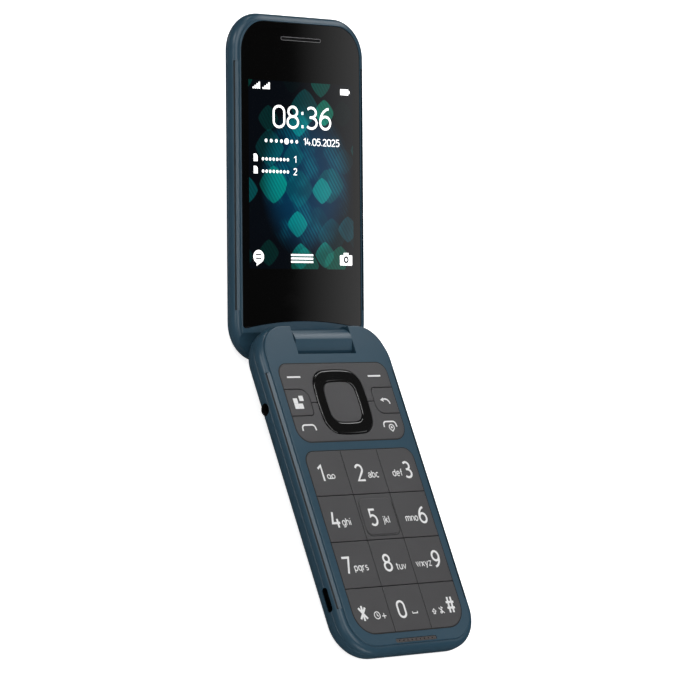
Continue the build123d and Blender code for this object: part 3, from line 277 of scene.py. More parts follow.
def word(text, x, y, height, stretch=1.0):
    """Strokes of a word whose middle is at x and whose foot is at y, in mm. Stretch widens it."""
    wide = height * stretch
    widths = [GLYPHS[letter][0] for letter in text]
    at = x - wide * (sum(widths) + GLYPH_SPACE * (len(text) - 1)) / 2
    strokes = []
    for letter, width in zip(text, widths):
        strokes += [stroke * (wide, height) + (at, y) for stroke in GLYPHS[letter][1]]
        at += wide * (width + GLYPH_SPACE)
    return strokes


def placed(strokes, x, y, size):
    """Strokes of a sign drawn in a unit square, moved and scaled, in mm."""
    return [stroke * size + (x, y) for stroke in strokes]


# signs drawn round their middle, for a size of 1
VOICEMAIL = [
    path(arc(-0.42, 0.0, 0.3, 0.3, 0, 360, 21)),
    path(arc(0.42, 0.0, 0.3, 0.3, 0, 360, 21)),
    path((-0.42, -0.3), (0.42, -0.3)),
]
CLOCK = [path(arc(0, 0, 0.5, 0.5, 0, 360, 25)), path((0.0, 0.3), (0.0, -0.02), (0.22, -0.16))]
SPACE_MARK = [path((-0.5, 0.18), (-0.5, -0.1), (0.5, -0.1), (0.5, 0.18))]
SHIFT_MARK = [path(
    (-0.22, -0.5), (0.22, -0.5), (0.22, 0.0), (0.5, 0.0),
    (0.0, 0.52), (-0.5, 0.0), (-0.22, 0.0), (-0.22, -0.5),
)]
NOTE = [
    path(arc(-0.16, -0.34, 0.17, 0.14, 0, 360, 15)),
    path((0.01, -0.34), (0.01, 0.5), (0.34, 0.3)),
    path((-0.5, 0.4), (0.46, -0.5)),
]
HANDSET = [path(
    (-0.5, -0.17), arc(-0.27, -0.03, 0.21, 0.2, 170, 90),
    arc(0.27, -0.03, 0.21, 0.2, 90, 10), (0.5, -0.17),
)]
LEAF = [
    path((0.0, -0.5), arc(0.0, 0.04, 0.42, 0.4, -32, 212), (0.0, -0.5)),
    path(arc(0.0, 0.04, 0.09, 0.09, 0, 360, 9)),
]
BACK_ARROW = [path((-0.3, 0.22), arc(0.02, -0.24, 0.46, 0.47, 95, 2))]


# ---------------------------------------------------------------- meshes
STAGGER = 0.0015  # how much higher a printed line lies than the one before, in mm
TURN_SIDES = 72  # of a turned piece


def plain_rows(faces):
    """Faces as plain lists, from an array or from lists."""
    return faces if isinstance(faces, list) else faces.tolist()


def new_piece(name, points, faces, body, finish, smooth=False):
    """A mesh piece from arrays of points and faces, riding on a body with a finish."""
    mesh = bpy.data.meshes.new(name)
    mesh.from_pydata(points.tolist(), [], plain_rows(faces))
    mesh.validate()
    if smooth:
        mesh.shade_smooth()
    piece = bpy.data.objects.new(name, mesh)
    bpy.context.scene.collection.objects.link(piece)
    mesh.materials.append(finish)
    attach(piece, body)
    return piece


def ribbon(stroke, width):
    """Both edges of a line of even width: each point moved half the width along the mean of the
    normals of the two runs that meet there, more where they meet at a corner."""
    closed = np.linalg.norm(stroke[0] - stroke[-1]) < 1e-4
    line = stroke[:-1] if closed else stroke
    ahead = np.roll(line, -1, axis=0) - line
    if not closed:
        ahead[-1] = ahead[-2]
    ahead /= np.linalg.norm(ahead, axis=1, keepdims=True)
    behind = np.roll(ahead, 1, axis=0)
    if not closed:
        behind[0] = ahead[0]
    mean = ahead + behind
    mean /= np.maximum(np.linalg.norm(mean, axis=1, keepdims=True), 1e-9)
    half = width / 2 / np.maximum((mean * ahead).sum(1, keepdims=True), 0.6)
    normal = np.column_stack([-mean[:, 1], mean[:, 0]])
    return line + half * normal, line - half * normal, closed


def raised_strokes(strokes, width, level, height):
    """Points and faces of flat raised lines. Each line is a closed band of square section, and
    each stands a hair above the one before, so that crossings don't share a face."""
    points, faces, start = [], [], 0
    for number, stroke in enumerate(strokes):
        left, right, closed = ribbon(np.asarray(stroke, float), width)
        n = len(left)
        top = level + height + STAGGER * (number % 4)
        low = level - height
        corners = [(left, top), (right, top), (right, low), (left, low)]
        points += [np.column_stack([side, np.full(n, z)]) for side, z in corners]
        i = np.arange(n if closed else n - 1)
        j = (i + 1) % n
        for a in range(4):
            b = (a + 1) % 4
            faces.append(start + np.column_stack([a * n + i, b * n + i, b * n + j, a * n + j]))
        if not closed:
            faces.append(start + np.array([[3 * n, 2 * n, n, 0]]))
            faces.append(start + np.array([[n - 1, 2 * n - 1, 3 * n - 1, 4 * n - 1]]))
        start += 4 * n
    return np.vstack(points), np.vstack(faces)


def raised_plates(outlines, level, height):
    """Points and faces of flat plates: each outline once at the top and once below, with sides."""
    points, faces, start = [], [], 0
    for outline in outlines:
        outline = np.asarray(outline, float)
        following = np.roll(outline, -1, axis=0)
        area = (outline[:, 0] * following[:, 1] - following[:, 0] * outline[:, 1]).sum()
        if area < 0:
            outline = outline[::-1]
        n = len(outline)
        for z in (level + height, level - height):
            points.append(np.column_stack([outline, np.full(n, z)]))
        i = np.arange(n)
        j = (i + 1) % n
        faces.append((start + i).tolist())
        faces.append((start + n + i[::-1]).tolist())
        faces += (start + np.column_stack([i, n + i, n + j, j])).tolist()
        start += 2 * n
    return np.vstack(points), faces


def rounded_box(x, y, half_width, half_height, radius, steps=6):
    """Outline of a rectangle with round corners: four quarter circles in order."""
    cx, cy = half_width - radius, half_height - radius
    corners = [(cx, cy, 0), (-cx, cy, 90), (-cx, -cy, 180), (cx, -cy, 270)]
    return np.vstack([arc(x + a, y + b, radius, radius, s, s + 90, steps) for a, b, s in corners])


def dot(x, y, radius):
    """Outline of a small round plate, nearly even."""
    return arc(x, y, radius, radius, 0, 345, 16)


def turned(profile, x, y):
    """Surface of revolution: a profile of radius and height carried round an upright axis, open at
    both ends of the profile."""
    profile = np.asarray(profile, float)
    a = np.linspace(0, TURN, TURN_SIDES, endpoint=False)
    radius, height = profile[:, 0], profile[:, 1]
    points = np.stack([
        x + np.outer(radius, np.cos(a)),
        y + np.outer(radius, np.sin(a)),
        np.repeat(height[:, None], TURN_SIDES, 1),
    ], axis=-1).reshape(-1, 3)
    row, j = np.indices((len(profile) - 1, TURN_SIDES))
    k = (j + 1) % TURN_SIDES
    here, there = row * TURN_SIDES, (row + 1) * TURN_SIDES
    return points, np.stack([here + j, here + k, there + k, there + j], -1).reshape(-1, 4)


def bulge(radius, foot, rise, power):
    """Profile of a shallow dome, from its edge inwards: the foot, plus the rise times one less the
    given power of the share of the radius."""
    share = np.linspace(0.001, 1.0, 14)[::-1]
    return np.column_stack([radius * share, foot + rise * (1 - share**power)])


def printed(name, place, strokes, width, level, body, finish, plates=()):
    """One printed or lit piece from lines and plates that share a level."""
    height = settings().print_height / MM
    parts = []
    if strokes:
        parts.append(raised_strokes(strokes, width, level, height))
    if len(plates):
        parts.append(raised_plates(plates, level, height))
    points, faces, start = [], [], 0
    for more, rows in parts:
        points.append(more)
        faces += [[start + i for i in row] for row in plain_rows(rows)]
        start += len(more)
    return new_piece(name, place(np.vstack(points)), faces, body, finish)


# ---------------------------------------------------------------- finishes
class Wire:
    """A value in a node tree. Arithmetic on it adds Math nodes."""

    def __init__(self, finish, socket):
        self.finish = finish
        self.socket = socket

    def maths(self, operation, *values):
        return self.finish.node("ShaderNodeMath", {"operation": operation}, dict(enumerate(values)))["Value"]

    def __add__(self, other):
        return self.maths("ADD", self, other)

    __radd__ = __add__

    def __sub__(self, other):
        return self.maths("SUBTRACT", self, other)

    def __rsub__(self, other):
        return self.maths("SUBTRACT", other, self)

    def __mul__(self, other):
        return self.maths("MULTIPLY", self, other)

    __rmul__ = __mul__

    def __truediv__(self, other):
        return self.maths("DIVIDE", self, other)

    def __rtruediv__(self, other):
        return self.maths("DIVIDE", other, self)

    def __pow__(self, other):
        return self.maths("POWER", self, other)

    def __rpow__(self, other):
        return self.maths("POWER", other, self)

    def __abs__(self):
        return self.maths("ABSOLUTE", self)

    def __lt__(self, other):
        return self.maths("LESS_THAN", self, other)

    def __gt__(self, other):
        return self.maths("GREATER_THAN", self, other)

    def fraction(self):
        return self.maths("FRACT", self)

    def between(self, low, high):
        """0 at low and 1 at high, smooth between them. High may be the smaller one."""
        node = self.finish.node(
            "ShaderNodeMapRange",
            {"interpolation_type": "SMOOTHSTEP"},
            {"Value": self, "From Min": low, "From Max": high},
        )
        return node["Result"]


class Outputs:
    """A node's outputs by name, as wires."""

    def __init__(self, finish, node):
        self.finish = finish
        self.bpy_node = node

    def __getitem__(self, name):
        return Wire(self.finish, self.bpy_node.outputs[name])


class Finish:
    """A material under construction, with a Principled shader."""

    def __init__(self, name, **constants):
        self.material = bpy.data.materials.new(name)
        self.material.use_nodes = True
        self.tree = self.material.node_tree
        self.tree.nodes.clear()
        self.shader = self.node("ShaderNodeBsdfPrincipled", {}, constants)
        self.node("ShaderNodeOutputMaterial", {}, {"Surface": self.shader["BSDF"]})

    def node(self, kind, choices, inputs):
        """Adds a node, sets its choices first, then gives each input its value or link."""
        node = self.tree.nodes.new(kind)
        for key, value in choices.items():
            setattr(node, key, value)
        self.feed(node, inputs)
        return Outputs(self, node)

    def feed(self, node, inputs):
        """Gives each input of a node its value or link, a colour without its alpha among them."""
        for key, value in inputs.items():
            socket = node.inputs[key]
            if isinstance(value, Wire):
                self.tree.links.new(value.socket, socket)
            elif hasattr(value, "__len__") and len(value) == 3 and socket.type == "RGBA":
                socket.default_value = (*value, 1.0)
            else:
                socket.default_value = value

    def surface(self, **links):
        """Feeds the shader's sockets, spaces in their names written as underscores."""
        self.feed(self.shader.bpy_node, {key.replace("_", " "): value for key, value in links.items()})

    def place(self, origin=(0, 0, 0), lean=0.0, scale=1.0):
        """Object coordinates, or those of a half's own plane: moved to its origin and leant back.
        The scale is the unit that they are given in, in metres."""
        where = self.node("ShaderNodeTexCoord", {}, {})["Object"]
        return self.node(
            "ShaderNodeMapping",
            {"vector_type": "TEXTURE"},
            {"Vector": where, "Location": tuple(origin), "Rotation": (lean, 0, 0), "Scale": (scale,) * 3},
        )["Vector"]

    def parts_of(self, vector):
        """The three coordinates of a vector."""
        node = self.node("ShaderNodeSeparateXYZ", {}, {"Vector": vector})
        return node["X"], node["Y"], node["Z"]

    def noise(self, vector, scale, detail=2.0, roughness=0.5):
        inputs = {"Vector": vector, "Scale": scale, "Detail": detail, "Roughness": roughness}
        return self.node("ShaderNodeTexNoise", {}, inputs)["Fac"]

    def mix(self, factor, first, second):
        """A colour between two colours."""
        node = self.node("ShaderNodeMix", {"data_type": "RGBA"}, {0: factor, 6: first, 7: second})
        return Wire(self, node.bpy_node.outputs[2])

    def bump(self, height, distance):
        inputs = {"Height": height, "Distance": distance, "Strength": 1.0}
        return self.node("ShaderNodeBump", {}, inputs)["Normal"]


def moulded(name, colour, roughness, grain, depth):
    """Moulded plastic: a fine spark-eroded grain, and a colour and gloss that drift a little."""
    finish = Finish(name)
    where = finish.place()
    fine = finish.noise(where, 1 / grain, 3.0, 0.6)
    broad = finish.noise(where, 60.0, 2.0)
    lighter = tuple(min(1.0, c * 1.10 + 0.001) for c in colour)
    darker = tuple(c * 0.90 for c in colour)
    finish.surface(
        Base_Color=finish.mix(broad, darker, lighter),
        Roughness=roughness + (broad - 0.5) * 0.04 + (fine - 0.5) * 0.08,
        Normal=finish.bump(fine, depth),
    )
    return finish.material


def ink(name, colour, glow=0.0):
    """Printed ink or a lit sign, with the faint speckle of a screen print."""
    finish = Finish(name, **{"Emission Strength": glow})
    speckle = finish.noise(finish.place(), 9000.0, 1.0)
    tone = finish.mix(speckle, tuple(c * 0.88 for c in colour), colour)
    finish.surface(Base_Color=tone, Roughness=0.45 + (speckle - 0.5) * 0.2)
    if glow:
        finish.surface(Emission_Color=tone)
    return finish.material


def polished(name, colour, roughness=0.06, coat=0.5):
    """Polished plastic or glass over black, with faint swirls in its gloss."""
    finish = Finish(name, **{"Coat Weight": coat, "Coat Roughness": 0.03, "IOR": 1.5})
    smudge = finish.noise(finish.place(), 140.0, 4.0, 0.65)
    finish.surface(
        Base_Color=finish.mix(smudge, colour, tuple(c * 1.25 + 0.001 for c in colour)),
        Roughness=roughness + smudge.between(0.45, 0.75) * 0.03,
    )
    return finish.material


METAL_GRAIN = 0.00012
METAL_DEPTH = 0.000004


def metal(name, colour, roughness, stretch=1.0):
    """Bare metal with a brushed or rolled grain, which is longer across the phone where the
    stretch is less than 1."""
    finish = Finish(name, Metallic=1.0)
    x, y, z = finish.parts_of(finish.place())
    drawn = finish.node("ShaderNodeCombineXYZ", {}, {"X": x * stretch, "Y": y, "Z": z})["Vector"]
    grainy = finish.noise(drawn, 1 / METAL_GRAIN, 3.0, 0.7)
    finish.surface(
        Base_Color=finish.mix(grainy, tuple(c * 0.85 for c in colour), colour),
        Roughness=roughness + (grainy - 0.5) * 0.18,
        Normal=finish.bump(grainy, METAL_DEPTH),
    )
    return finish.material


def board_finish():
    """Solder mask with copper tracks that show through it on a square raster."""
    finish = Finish("solder_mask")
    x = finish.parts_of(finish.place(scale=MM))[0]
    cells = finish.node(
        "ShaderNodeTexVoronoi", {"distance": "CHEBYCHEV"}, {"Vector": finish.place(), "Scale": 420.0}
    )
    tracks = abs((x * 0.8).fraction() - 0.5).between(0.2, 0.12) * (cells["Distance"] > 0.35)
    pads = cells["Distance"].between(0.16, 0.12)
    mask = finish.mix(tracks, (0.006, 0.06, 0.035), (0.012, 0.11, 0.06))
    finish.surface(
        Base_Color=finish.mix(pads, mask, (0.75, 0.55, 0.2)),
        Metallic=pads,
        Roughness=0.35 - pads * 0.1,
        Normal=finish.bump(tracks, 0.00003),
    )
    return finish.material


def film(name, colour):
    """Polyimide film with fine conductors along it."""
    finish = Finish(name)
    x = finish.parts_of(finish.place(scale=MM))[0]
    lines = abs((x * 2.5).fraction() - 0.5).between(0.3, 0.2)
    finish.surface(
        Base_Color=finish.mix(lines, colour, tuple(c * 0.45 for c in colour)),
        Roughness=0.3 + lines * 0.1,
    )
    return finish.material


def woven(name, colour, pitch):
    """Fine wire mesh: two sets of crossing threads that stand above the open cells between them."""
    finish = Finish(name, Metallic=0.8)
    x, y = finish.parts_of(finish.place(LID_ORIGIN, LID_LEAN, MM))[:2]
    across = abs((x / pitch).fraction() - 0.5)
    along = abs((y / pitch).fraction() - 0.5)
    open_cell = across.between(0.22, 0.3) * along.between(0.22, 0.3)
    finish.surface(
        Base_Color=finish.mix(open_cell, colour, (0.002, 0.002, 0.002)),
        Roughness=0.35 + open_cell * 0.4,
        Normal=finish.bump(1 - open_cell, 0.00006),
    )
    return finish.material


# each layer of the wallpaper's diamonds: their size and shift in mm, brightness and reach
WALLPAPER = ((13.0, 5.1, 0.6, 0.46), (10.5, 27.4, 1.0, 0.40))


def glass_finish():
    """Black-backed screen glass whose middle lights up: soft rounded diamonds and straight
    hatching over a deep glow, inside the lit area only."""
    look = settings()
    finish = Finish("screen_glass", **{"IOR": 1.5, "Emission Strength": 1.0})
    x, v, h = finish.parts_of(finish.place(LID_ORIGIN, LID_LEAN, MM))
    s = v - SCREEN_LOW
    lit = (abs(x) < SCREEN_HALF_WIDTH) * (s > 0) * (s < SCREEN_HEIGHT) * (h > GLASS_TOP - 0.3)
    plane = finish.node("ShaderNodeCombineXYZ", {}, {"X": x, "Y": s, "Z": 0.0})["Vector"]
    glow = ((x - 2.0) ** 2 / 340.0 + (s - 27.0) ** 2 / 520.0).between(1.15, 0.1)
    shimmer = finish.noise(plane, 0.09, 2.0)
    hatch = abs(((x * 0.82 + s * 0.57) * 0.9).fraction() - 0.5).between(0.36, 0.12)
    tone = finish.mix(glow, (0.0, 0.001, 0.003), tuple(look.deep_colour))
    tone = finish.mix(glow * shimmer.between(0.42, 0.6) * (0.25 + hatch * 0.75), tone, (0.0, 0.11, 0.17))
    for size, shift, strength, reach in WALLPAPER:
        shifted = finish.node("ShaderNodeCombineXYZ", {}, {"X": x + shift, "Y": s + shift * 0.7, "Z": 0.0})
        cells = finish.node(
            "ShaderNodeTexVoronoi",
            {"voronoi_dimensions": "2D", "distance": "MINKOWSKI"},
            {"Vector": shifted["Vector"], "Scale": 1 / size, "Randomness": 0.55, "Exponent": 1.35},
        )
        chance = finish.node("ShaderNodeSeparateColor", {}, {"Color": cells["Color"]})
        shape = cells["Distance"].between(reach, reach - 0.035)
        bright = chance["Red"].between(0.4, 0.95) * strength * (0.25 + glow * 0.9)
        colour = finish.mix(chance["Green"], (0.0, 0.16, 0.24), tuple(look.glow_colour))
        tone = finish.mix(shape * bright * (0.72 + hatch * 0.28), tone, colour)
    smudge = finish.noise(finish.place(), 90.0, 3.0, 0.6)
    finish.surface(
        Base_Color=(0.0012, 0.0012, 0.0012),
        Roughness=0.05 + smudge.between(0.5, 0.8) * 0.02,
        Emission_Color=finish.mix(lit, (0.0, 0.0, 0.0), tone),
    )
    return finish.material


def lens_finish():
    """Coated lens glass: rings of faint violet and green tint over black."""
    finish = Finish("lens_glass", **{"IOR": 1.6, "Coat Weight": 1.0, "Coat Roughness": 0.02})
    x, v = finish.parts_of(finish.place(LID_ORIGIN, LID_LEAN, MM))[:2]
    away = (x**2 + (v - CAMERA_V) ** 2) ** 0.5
    iris = away.between(1.25, 1.05)
    tint = finish.mix(away.between(1.2, 2.4), (0.02, 0.006, 0.04), (0.004, 0.018, 0.02))
    finish.surface(Base_Color=finish.mix(iris, tint, (0.001, 0.001, 0.0015)), Roughness=0.03 + iris * 0.02)
    return finish.material


def flash_finish():
    """Flash cover: pale yellow with moulded concentric prisms."""
    finish = Finish("flash_cover", **{"Coat Weight": 0.6})
    x, v = finish.parts_of(finish.place(LID_ORIGIN, LID_LEAN, MM))[:2]
    away = ((x - FLASH_X) ** 2 + (v - CAMERA_V) ** 2) ** 0.5
    prism = (away * 3.2).fraction()
    finish.surface(
        Base_Color=finish.mix(away.between(0.9, 0.3), (0.78, 0.76, 0.66), (0.85, 0.66, 0.16)),
        Roughness=0.18 + prism * 0.1,
        Normal=finish.bump(prism, 0.00008),
    )
    return finish.material


FINISHES = {}


def make_finishes():
    """Makes every material once, with the colours that are set."""
    look = settings()
    shell, key = tuple(look.shell_colour), tuple(look.key_colour)
    FINISHES.update(
        shell=moulded("petrol_shell", shell, 0.30, 0.00018, 0.000004),
        keys=moulded("key_plastic", key, 0.42, 0.00025, 0.000006),
        ring=polished("ring_gloss", (0.004, 0.004, 0.004), 0.05, 1.0),
        glass=glass_finish(),
        window=polished("outer_window", (0.003, 0.003, 0.0035)),
        # black moulding of real parts, also used for the painted shadow round the key blocks and the middle
        # key's pad, and inside the jack's hole
        dark=moulded("black_moulding_and_painted_shade", (0.01, 0.01, 0.0105), 0.5, 0.0003, 0.000008),
        steel=metal("steel", (0.6, 0.6, 0.59), 0.32, stretch=0.1),
        socket=metal("dark_nickel", (0.03, 0.03, 0.03), 0.5),
        grille=moulded("grille_plastic", (0.07, 0.062, 0.060), 0.5, 0.0003, 0.000008),
        mesh=woven("woven_mesh", (0.03, 0.03, 0.032), 0.24),
        board=board_finish(),
        film=film("flex_film", (0.4, 0.17, 0.03)),
        dome=metal("dome_film", (0.7, 0.7, 0.68), 0.4),
        cell=moulded("battery_wrap", (0.03, 0.03, 0.034), 0.45, 0.0005, 0.00001),
        card=moulded("card_plastic", (0.8, 0.8, 0.78), 0.4, 0.0005, 0.000006),
        flash=flash_finish(),
        lens=lens_finish(),
        # painted shadow: the shell colour darkened, for the strips that stand for the shade deep in the
        # fingernail grooves
        groove=moulded("painted_groove_shadow", tuple(c * 0.12 for c in shell), 0.6, 0.00018, 0.000004),
        trim=metal("dark_trim", (0.5, 0.5, 0.51), 0.45),
        legend=ink("legend_ink", tuple(look.legend_colour)),
        lit=ink("screen_white", (1.0, 1.0, 1.0), glow=0.95),
        lit_dark=ink("screen_dark", (0.0, 0.004, 0.008), glow=1.0),
        lit_dim=ink("outer_screen_white", (0.75, 0.85, 0.9), glow=0.55),
    )


NODE_FINISHES = {
    "shell": (
        "base_front_housing", "base_rear_housing", "back_cover", "lid_inner_frame", "lid_outer_shell",
        "volume_rocker",
    ),
    "keys": ("soft_key_bar", "call_end_bar", "shortcut_key", "back_key", "ok_key"),
    "ring": ("nav_ring",),
    "glass": ("screen_glass",),
    "window": ("outer_window", "display_panel", "outer_display"),
    "dark": (
        "audio_jack_socket", "loudspeaker", "earpiece_speaker", "camera_module", "hinge_bush", "nav_gimbal",
        "battery_contacts", "microphone", "memory_card", "keypad_mat",
    ),
    "steel": (
        "rf_shields", "card_holders", "hinge_drive_shaft", "hinge_can", "hinge_cam_follower", "hinge_spring",
        "vibration_motor", "motor_weight", "base_screws", "lid_screws",
    ),
    "socket": ("usb_socket",),
    "grille": ("mic_grille",),
    "mesh": ("earpiece_mesh",),
    "board": ("main_board", "lid_board"),
    "film": ("hinge_flex_roll", "base_flex_tail", "lid_flex_tail"),
    "dome": ("dome_sheet",),
    "cell": ("battery",),
    "card": ("sim_cards",),
    "flash": ("flash_led",),
}


class PHONE_OT_finishes(bpy.types.Operator):
    """Gives every solid of the phone its finish"""

    bl_idname = "phone.finishes"
    bl_label = "Finishes"

    def execute(self, context):
        make_finishes()
        finish_of = {node: name for name, nodes in NODE_FINISHES.items() for node in nodes}
        for node, piece in frame["nodes"].items():
            name = "keys" if node.startswith("key_") else finish_of[node]
            piece.data.materials.clear()
            piece.data.materials.append(FINISHES[name])
        return {"FINISHED"}


# each key: where its digit or sign stands, its letters and where they stand
KEY_LEGENDS = {
    "1": (-17.9, 19.55, "", 0.0, 0.0),
    "2": (-2.2, 19.2, "abc", 3.1, 20.0),
    "3": (17.8, 19.45, "def", 13.3, 20.1),
    "4": (-17.9, 4.55, "ghi", -13.7, 5.2),
    "5": (-2.6, 4.55, "jkl", 2.4, 5.1),
    "6": (18.1, 4.55, "mno", 13.3, 5.3),
    "7": (-18.8, -10.0, "pqrs", -13.4, -9.3),
    "8": (-2.4, -10.0, "tuv", 2.8, -9.8),
    "9": (18.0, -9.9, "wxyz", 12.4, -9.4),
    "star": (-18.3, -25.2, "", 0.0, 0.0),
    "0": (-2.5, -24.85, "", 0.0, 0.0),
    "hash": (17.9, -24.75, "", 0.0, 0.0),
}
KEY_SIGNS = {
    "1": [(VOICEMAIL, -14.2, 20.9, 2.1)],
    "star": [(CLOCK, -12.9, -23.6, 2.2)],
    "0": [(SPACE_MARK, 2.6, -23.7, 2.0)],
    "hash": [(SHIFT_MARK, 10.5, -23.9, 1.5), (NOTE, 13.7, -23.7, 2.0)],
}
SIGN_CHARACTERS = {"star": "*", "hash": "#"}
LETTER_STRETCH = 1.25
# each block of keys: half its width, its low and high ends, and the radii of its low and high corners
KEY_BLOCKS = [(22.1, -29.1, 29.1, 7.0, 3.5), (22.2, 32.3, 57.85, 4.7, 3.5)]
KEY_GAP = 0.02
# width of the black strip of painted shadow over the gap round each block of keys
GAP_SHADOW_WIDTH = 0.3
PLUS_SIGN = (-10.2, -25.2, 3.4)  # on the star key: its middle, its foot and its height
# the raised pad of the middle key, and the width of the dark line of painted shadow round its foot
PAD_MIDDLE = (0.2, 7.1)
PAD_HALF = (6.7, 5.8)
PAD_RADIUS = 2.0
PAD_SHADOW_WIDTH = 0.2
# the fingernail grooves: along each side, and across from the middle of the phone
HINGE_Y = 66.2
GROOVE_START = 10.6
GROOVE_END = 86.5
GROOVE_OUTER = 26.75
GROOVE_INNER = 25.2
# inner edge of the dark strip of painted shadow in each groove
GROOVE_SHADOW_EDGE = 26.05
GROOVE_FLOOR = 1.75
GROOVE_TOP = 0.35
# the painted shadow at their foot, a dark strip in the groove where shade falls: above the slope, into it,
# short of the wall and short of both ends
LINE_LIFT = 0.02
LINE_ROOT = -0.1
LINE_CLEAR = 0.01
LINE_SHORT = 0.02
# the hole for the headphone plug in the wall of the keypad half, outside the socket, and the thin dark tube
# of painted shade inside it
JACK_Y = 45.3
JACK_Z = -5.1
JACK_R = 1.94
JACK_WALL = 0.06
JACK_MOUTH = -27.2
JACK_END = -24.25
JACK_SIDES = 32
# a box from two rings of four corners, the first one turning clockwise seen from its own end
BOX_FACES = [(0, 1, 2, 3), (7, 6, 5, 4), (0, 4, 5, 1), (1, 5, 6, 2), (2, 6, 7, 3), (3, 7, 4, 0)]


class PHONE_OT_key_legends(bpy.types.Operator):
    """Prints the digits, letters and signs on the twelve number keys"""

    bl_idname = "phone.key_legends"
    bl_label = "Key legends"

    def execute(self, context):
        look = settings()
        digit, letter = look.digit_height / MM, look.letter_height / MM
        for key, (x, y, letters, letters_x, letters_y) in KEY_LEGENDS.items():
            large = word(SIGN_CHARACTERS.get(key, key), x, y, digit)
            small = word(letters, letters_x, letters_y, letter, LETTER_STRETCH) if letters else []
            for sign, sign_x, sign_y, size in KEY_SIGNS.get(key, []):
                small += placed(sign, sign_x, sign_y, size)
            if key == "star":
                small += word("+", *PLUS_SIGN)
            body, level = "key_" + key, KEY_TOP + (PAD_PROUD if key == "5" else 0.0)
            prints = {"digit_": (large, look.digit_stroke), "letters_": (small, look.letter_stroke)}
            for kind, (strokes, line) in prints.items():
                printed(kind + key, on_base, strokes, line / MM, level, body, FINISHES["legend"])
        return {"FINISHED"}


class PHONE_OT_key_gap_shadows(bpy.types.Operator):
    """Lays a thin black strip of painted shadow over the gap round both blocks of keys, and a dark line of
    painted shadow round the middle key's pad
    """

    bl_idname = "phone.key_seals"
    bl_label = "Key gap shadows"

    def execute(self, context):
        away = (KEY_GAP + GAP_SHADOW_WIDTH) / 2
        gap_shadows = []
        for half_width, low, high, low_r, high_r in KEY_BLOCKS:
            corners = [
                (half_width - high_r, high - high_r, high_r, 0),
                (high_r - half_width, high - high_r, high_r, 90),
                (low_r - half_width, low + low_r, low_r, 180),
                (half_width - low_r, low + low_r, low_r, 270),
            ]
            line = [arc(x, y, r + away, r + away, start, start + 90) for x, y, r, start in corners]
            gap_shadows.append(path(*line, line[0][0]))
        # painted shadow: a black strip over the gap round each block of keys
        printed("key_gap_shadows", on_base, gap_shadows, GAP_SHADOW_WIDTH, 0.0, "base", FINISHES["dark"])
        away = PAD_SHADOW_WIDTH / 2
        pad = rounded_box(*PAD_MIDDLE, *(half + away for half in PAD_HALF), PAD_RADIUS + away)
        line = [path(pad, pad[0])]
        # painted shadow: a dark line round the foot of the middle key's pad
        printed("pad_shadow_line", on_base, line, PAD_SHADOW_WIDTH, KEY_TOP, "key_5", FINISHES["dark"])
        return {"FINISHED"}


class PHONE_OT_groove_shadows(bpy.types.Operator):
    """Lays a dark strip of painted shadow along the foot of the fingernail grooves of both halves, where
    shade falls deep in each groove
    """

    bl_idname = "phone.groove_lines"
    bl_label = "Groove shadows"

    def execute(self, context):
        slope = (GROOVE_FLOOR - GROOVE_TOP) / (GROOVE_OUTER - GROOVE_INNER)
        outer = GROOVE_OUTER - LINE_CLEAR
        corners = ((outer, LINE_LIFT), (GROOVE_SHADOW_EDGE, LINE_LIFT), (GROOVE_SHADOW_EDGE, LINE_ROOT), (outer, LINE_ROOT))
        profile = [(x, -GROOVE_FLOOR + (GROOVE_OUTER - x) * slope + lift) for x, lift in corners]
        halves = {
            "base": (on_base, HINGE_Y - GROOVE_END, HINGE_Y - GROOVE_START),
            "lid": (on_lid, GROOVE_START, GROOVE_END),
        }
        for body, (place, start, end) in halves.items():
            points, faces = [], []
            for side in (-1, 1):
                first = len(points)
                for y in (start + LINE_SHORT, end - LINE_SHORT):
                    points += [(side * x, y, z) for x, z in profile[::side]]
                faces += [[first + i for i in face] for face in BOX_FACES]
            # painted shadow: a dark strip along the foot of each groove
            new_piece("groove_lines_" + body, place(points), faces, body, FINISHES["groove"])
        return {"FINISHED"}


class PHONE_OT_jack_shadow(bpy.types.Operator):
    """Lines the wall's hole for the headphone plug with a thin dark tube, wider than the plug: painted shade
    that darkens the inside of the hole
    """

    bl_idname = "phone.jack_lining"
    bl_label = "Jack shadow"

    def execute(self, context):
        # four circles round the hole's axis, outer and inner at either end, each joined to the next
        turns = np.arange(JACK_SIDES) * (TURN / JACK_SIDES)
        bore = JACK_R - JACK_WALL
        rings = []
        for x, radius in ((JACK_MOUTH, JACK_R), (JACK_MOUTH, bore), (JACK_END, bore), (JACK_END, JACK_R)):
            along, up = JACK_Y + radius * np.cos(turns), JACK_Z + radius * np.sin(turns)
            rings.append(np.stack([np.full(JACK_SIDES, x), along, up], 1))
        ring, i = np.indices((4, JACK_SIDES))
        j = (i + 1) % JACK_SIDES
        here, there = ring * JACK_SIDES, (ring + 1) % 4 * JACK_SIDES
        faces = np.stack([here + i, here + j, there + j, there + i], -1).reshape(-1, 4)
        # painted shade: the dark tube darkens the inside of the hole
        new_piece("jack_shadow", on_base(np.vstack(rings)), faces, "base", FINISHES["dark"])
        return {"FINISHED"}


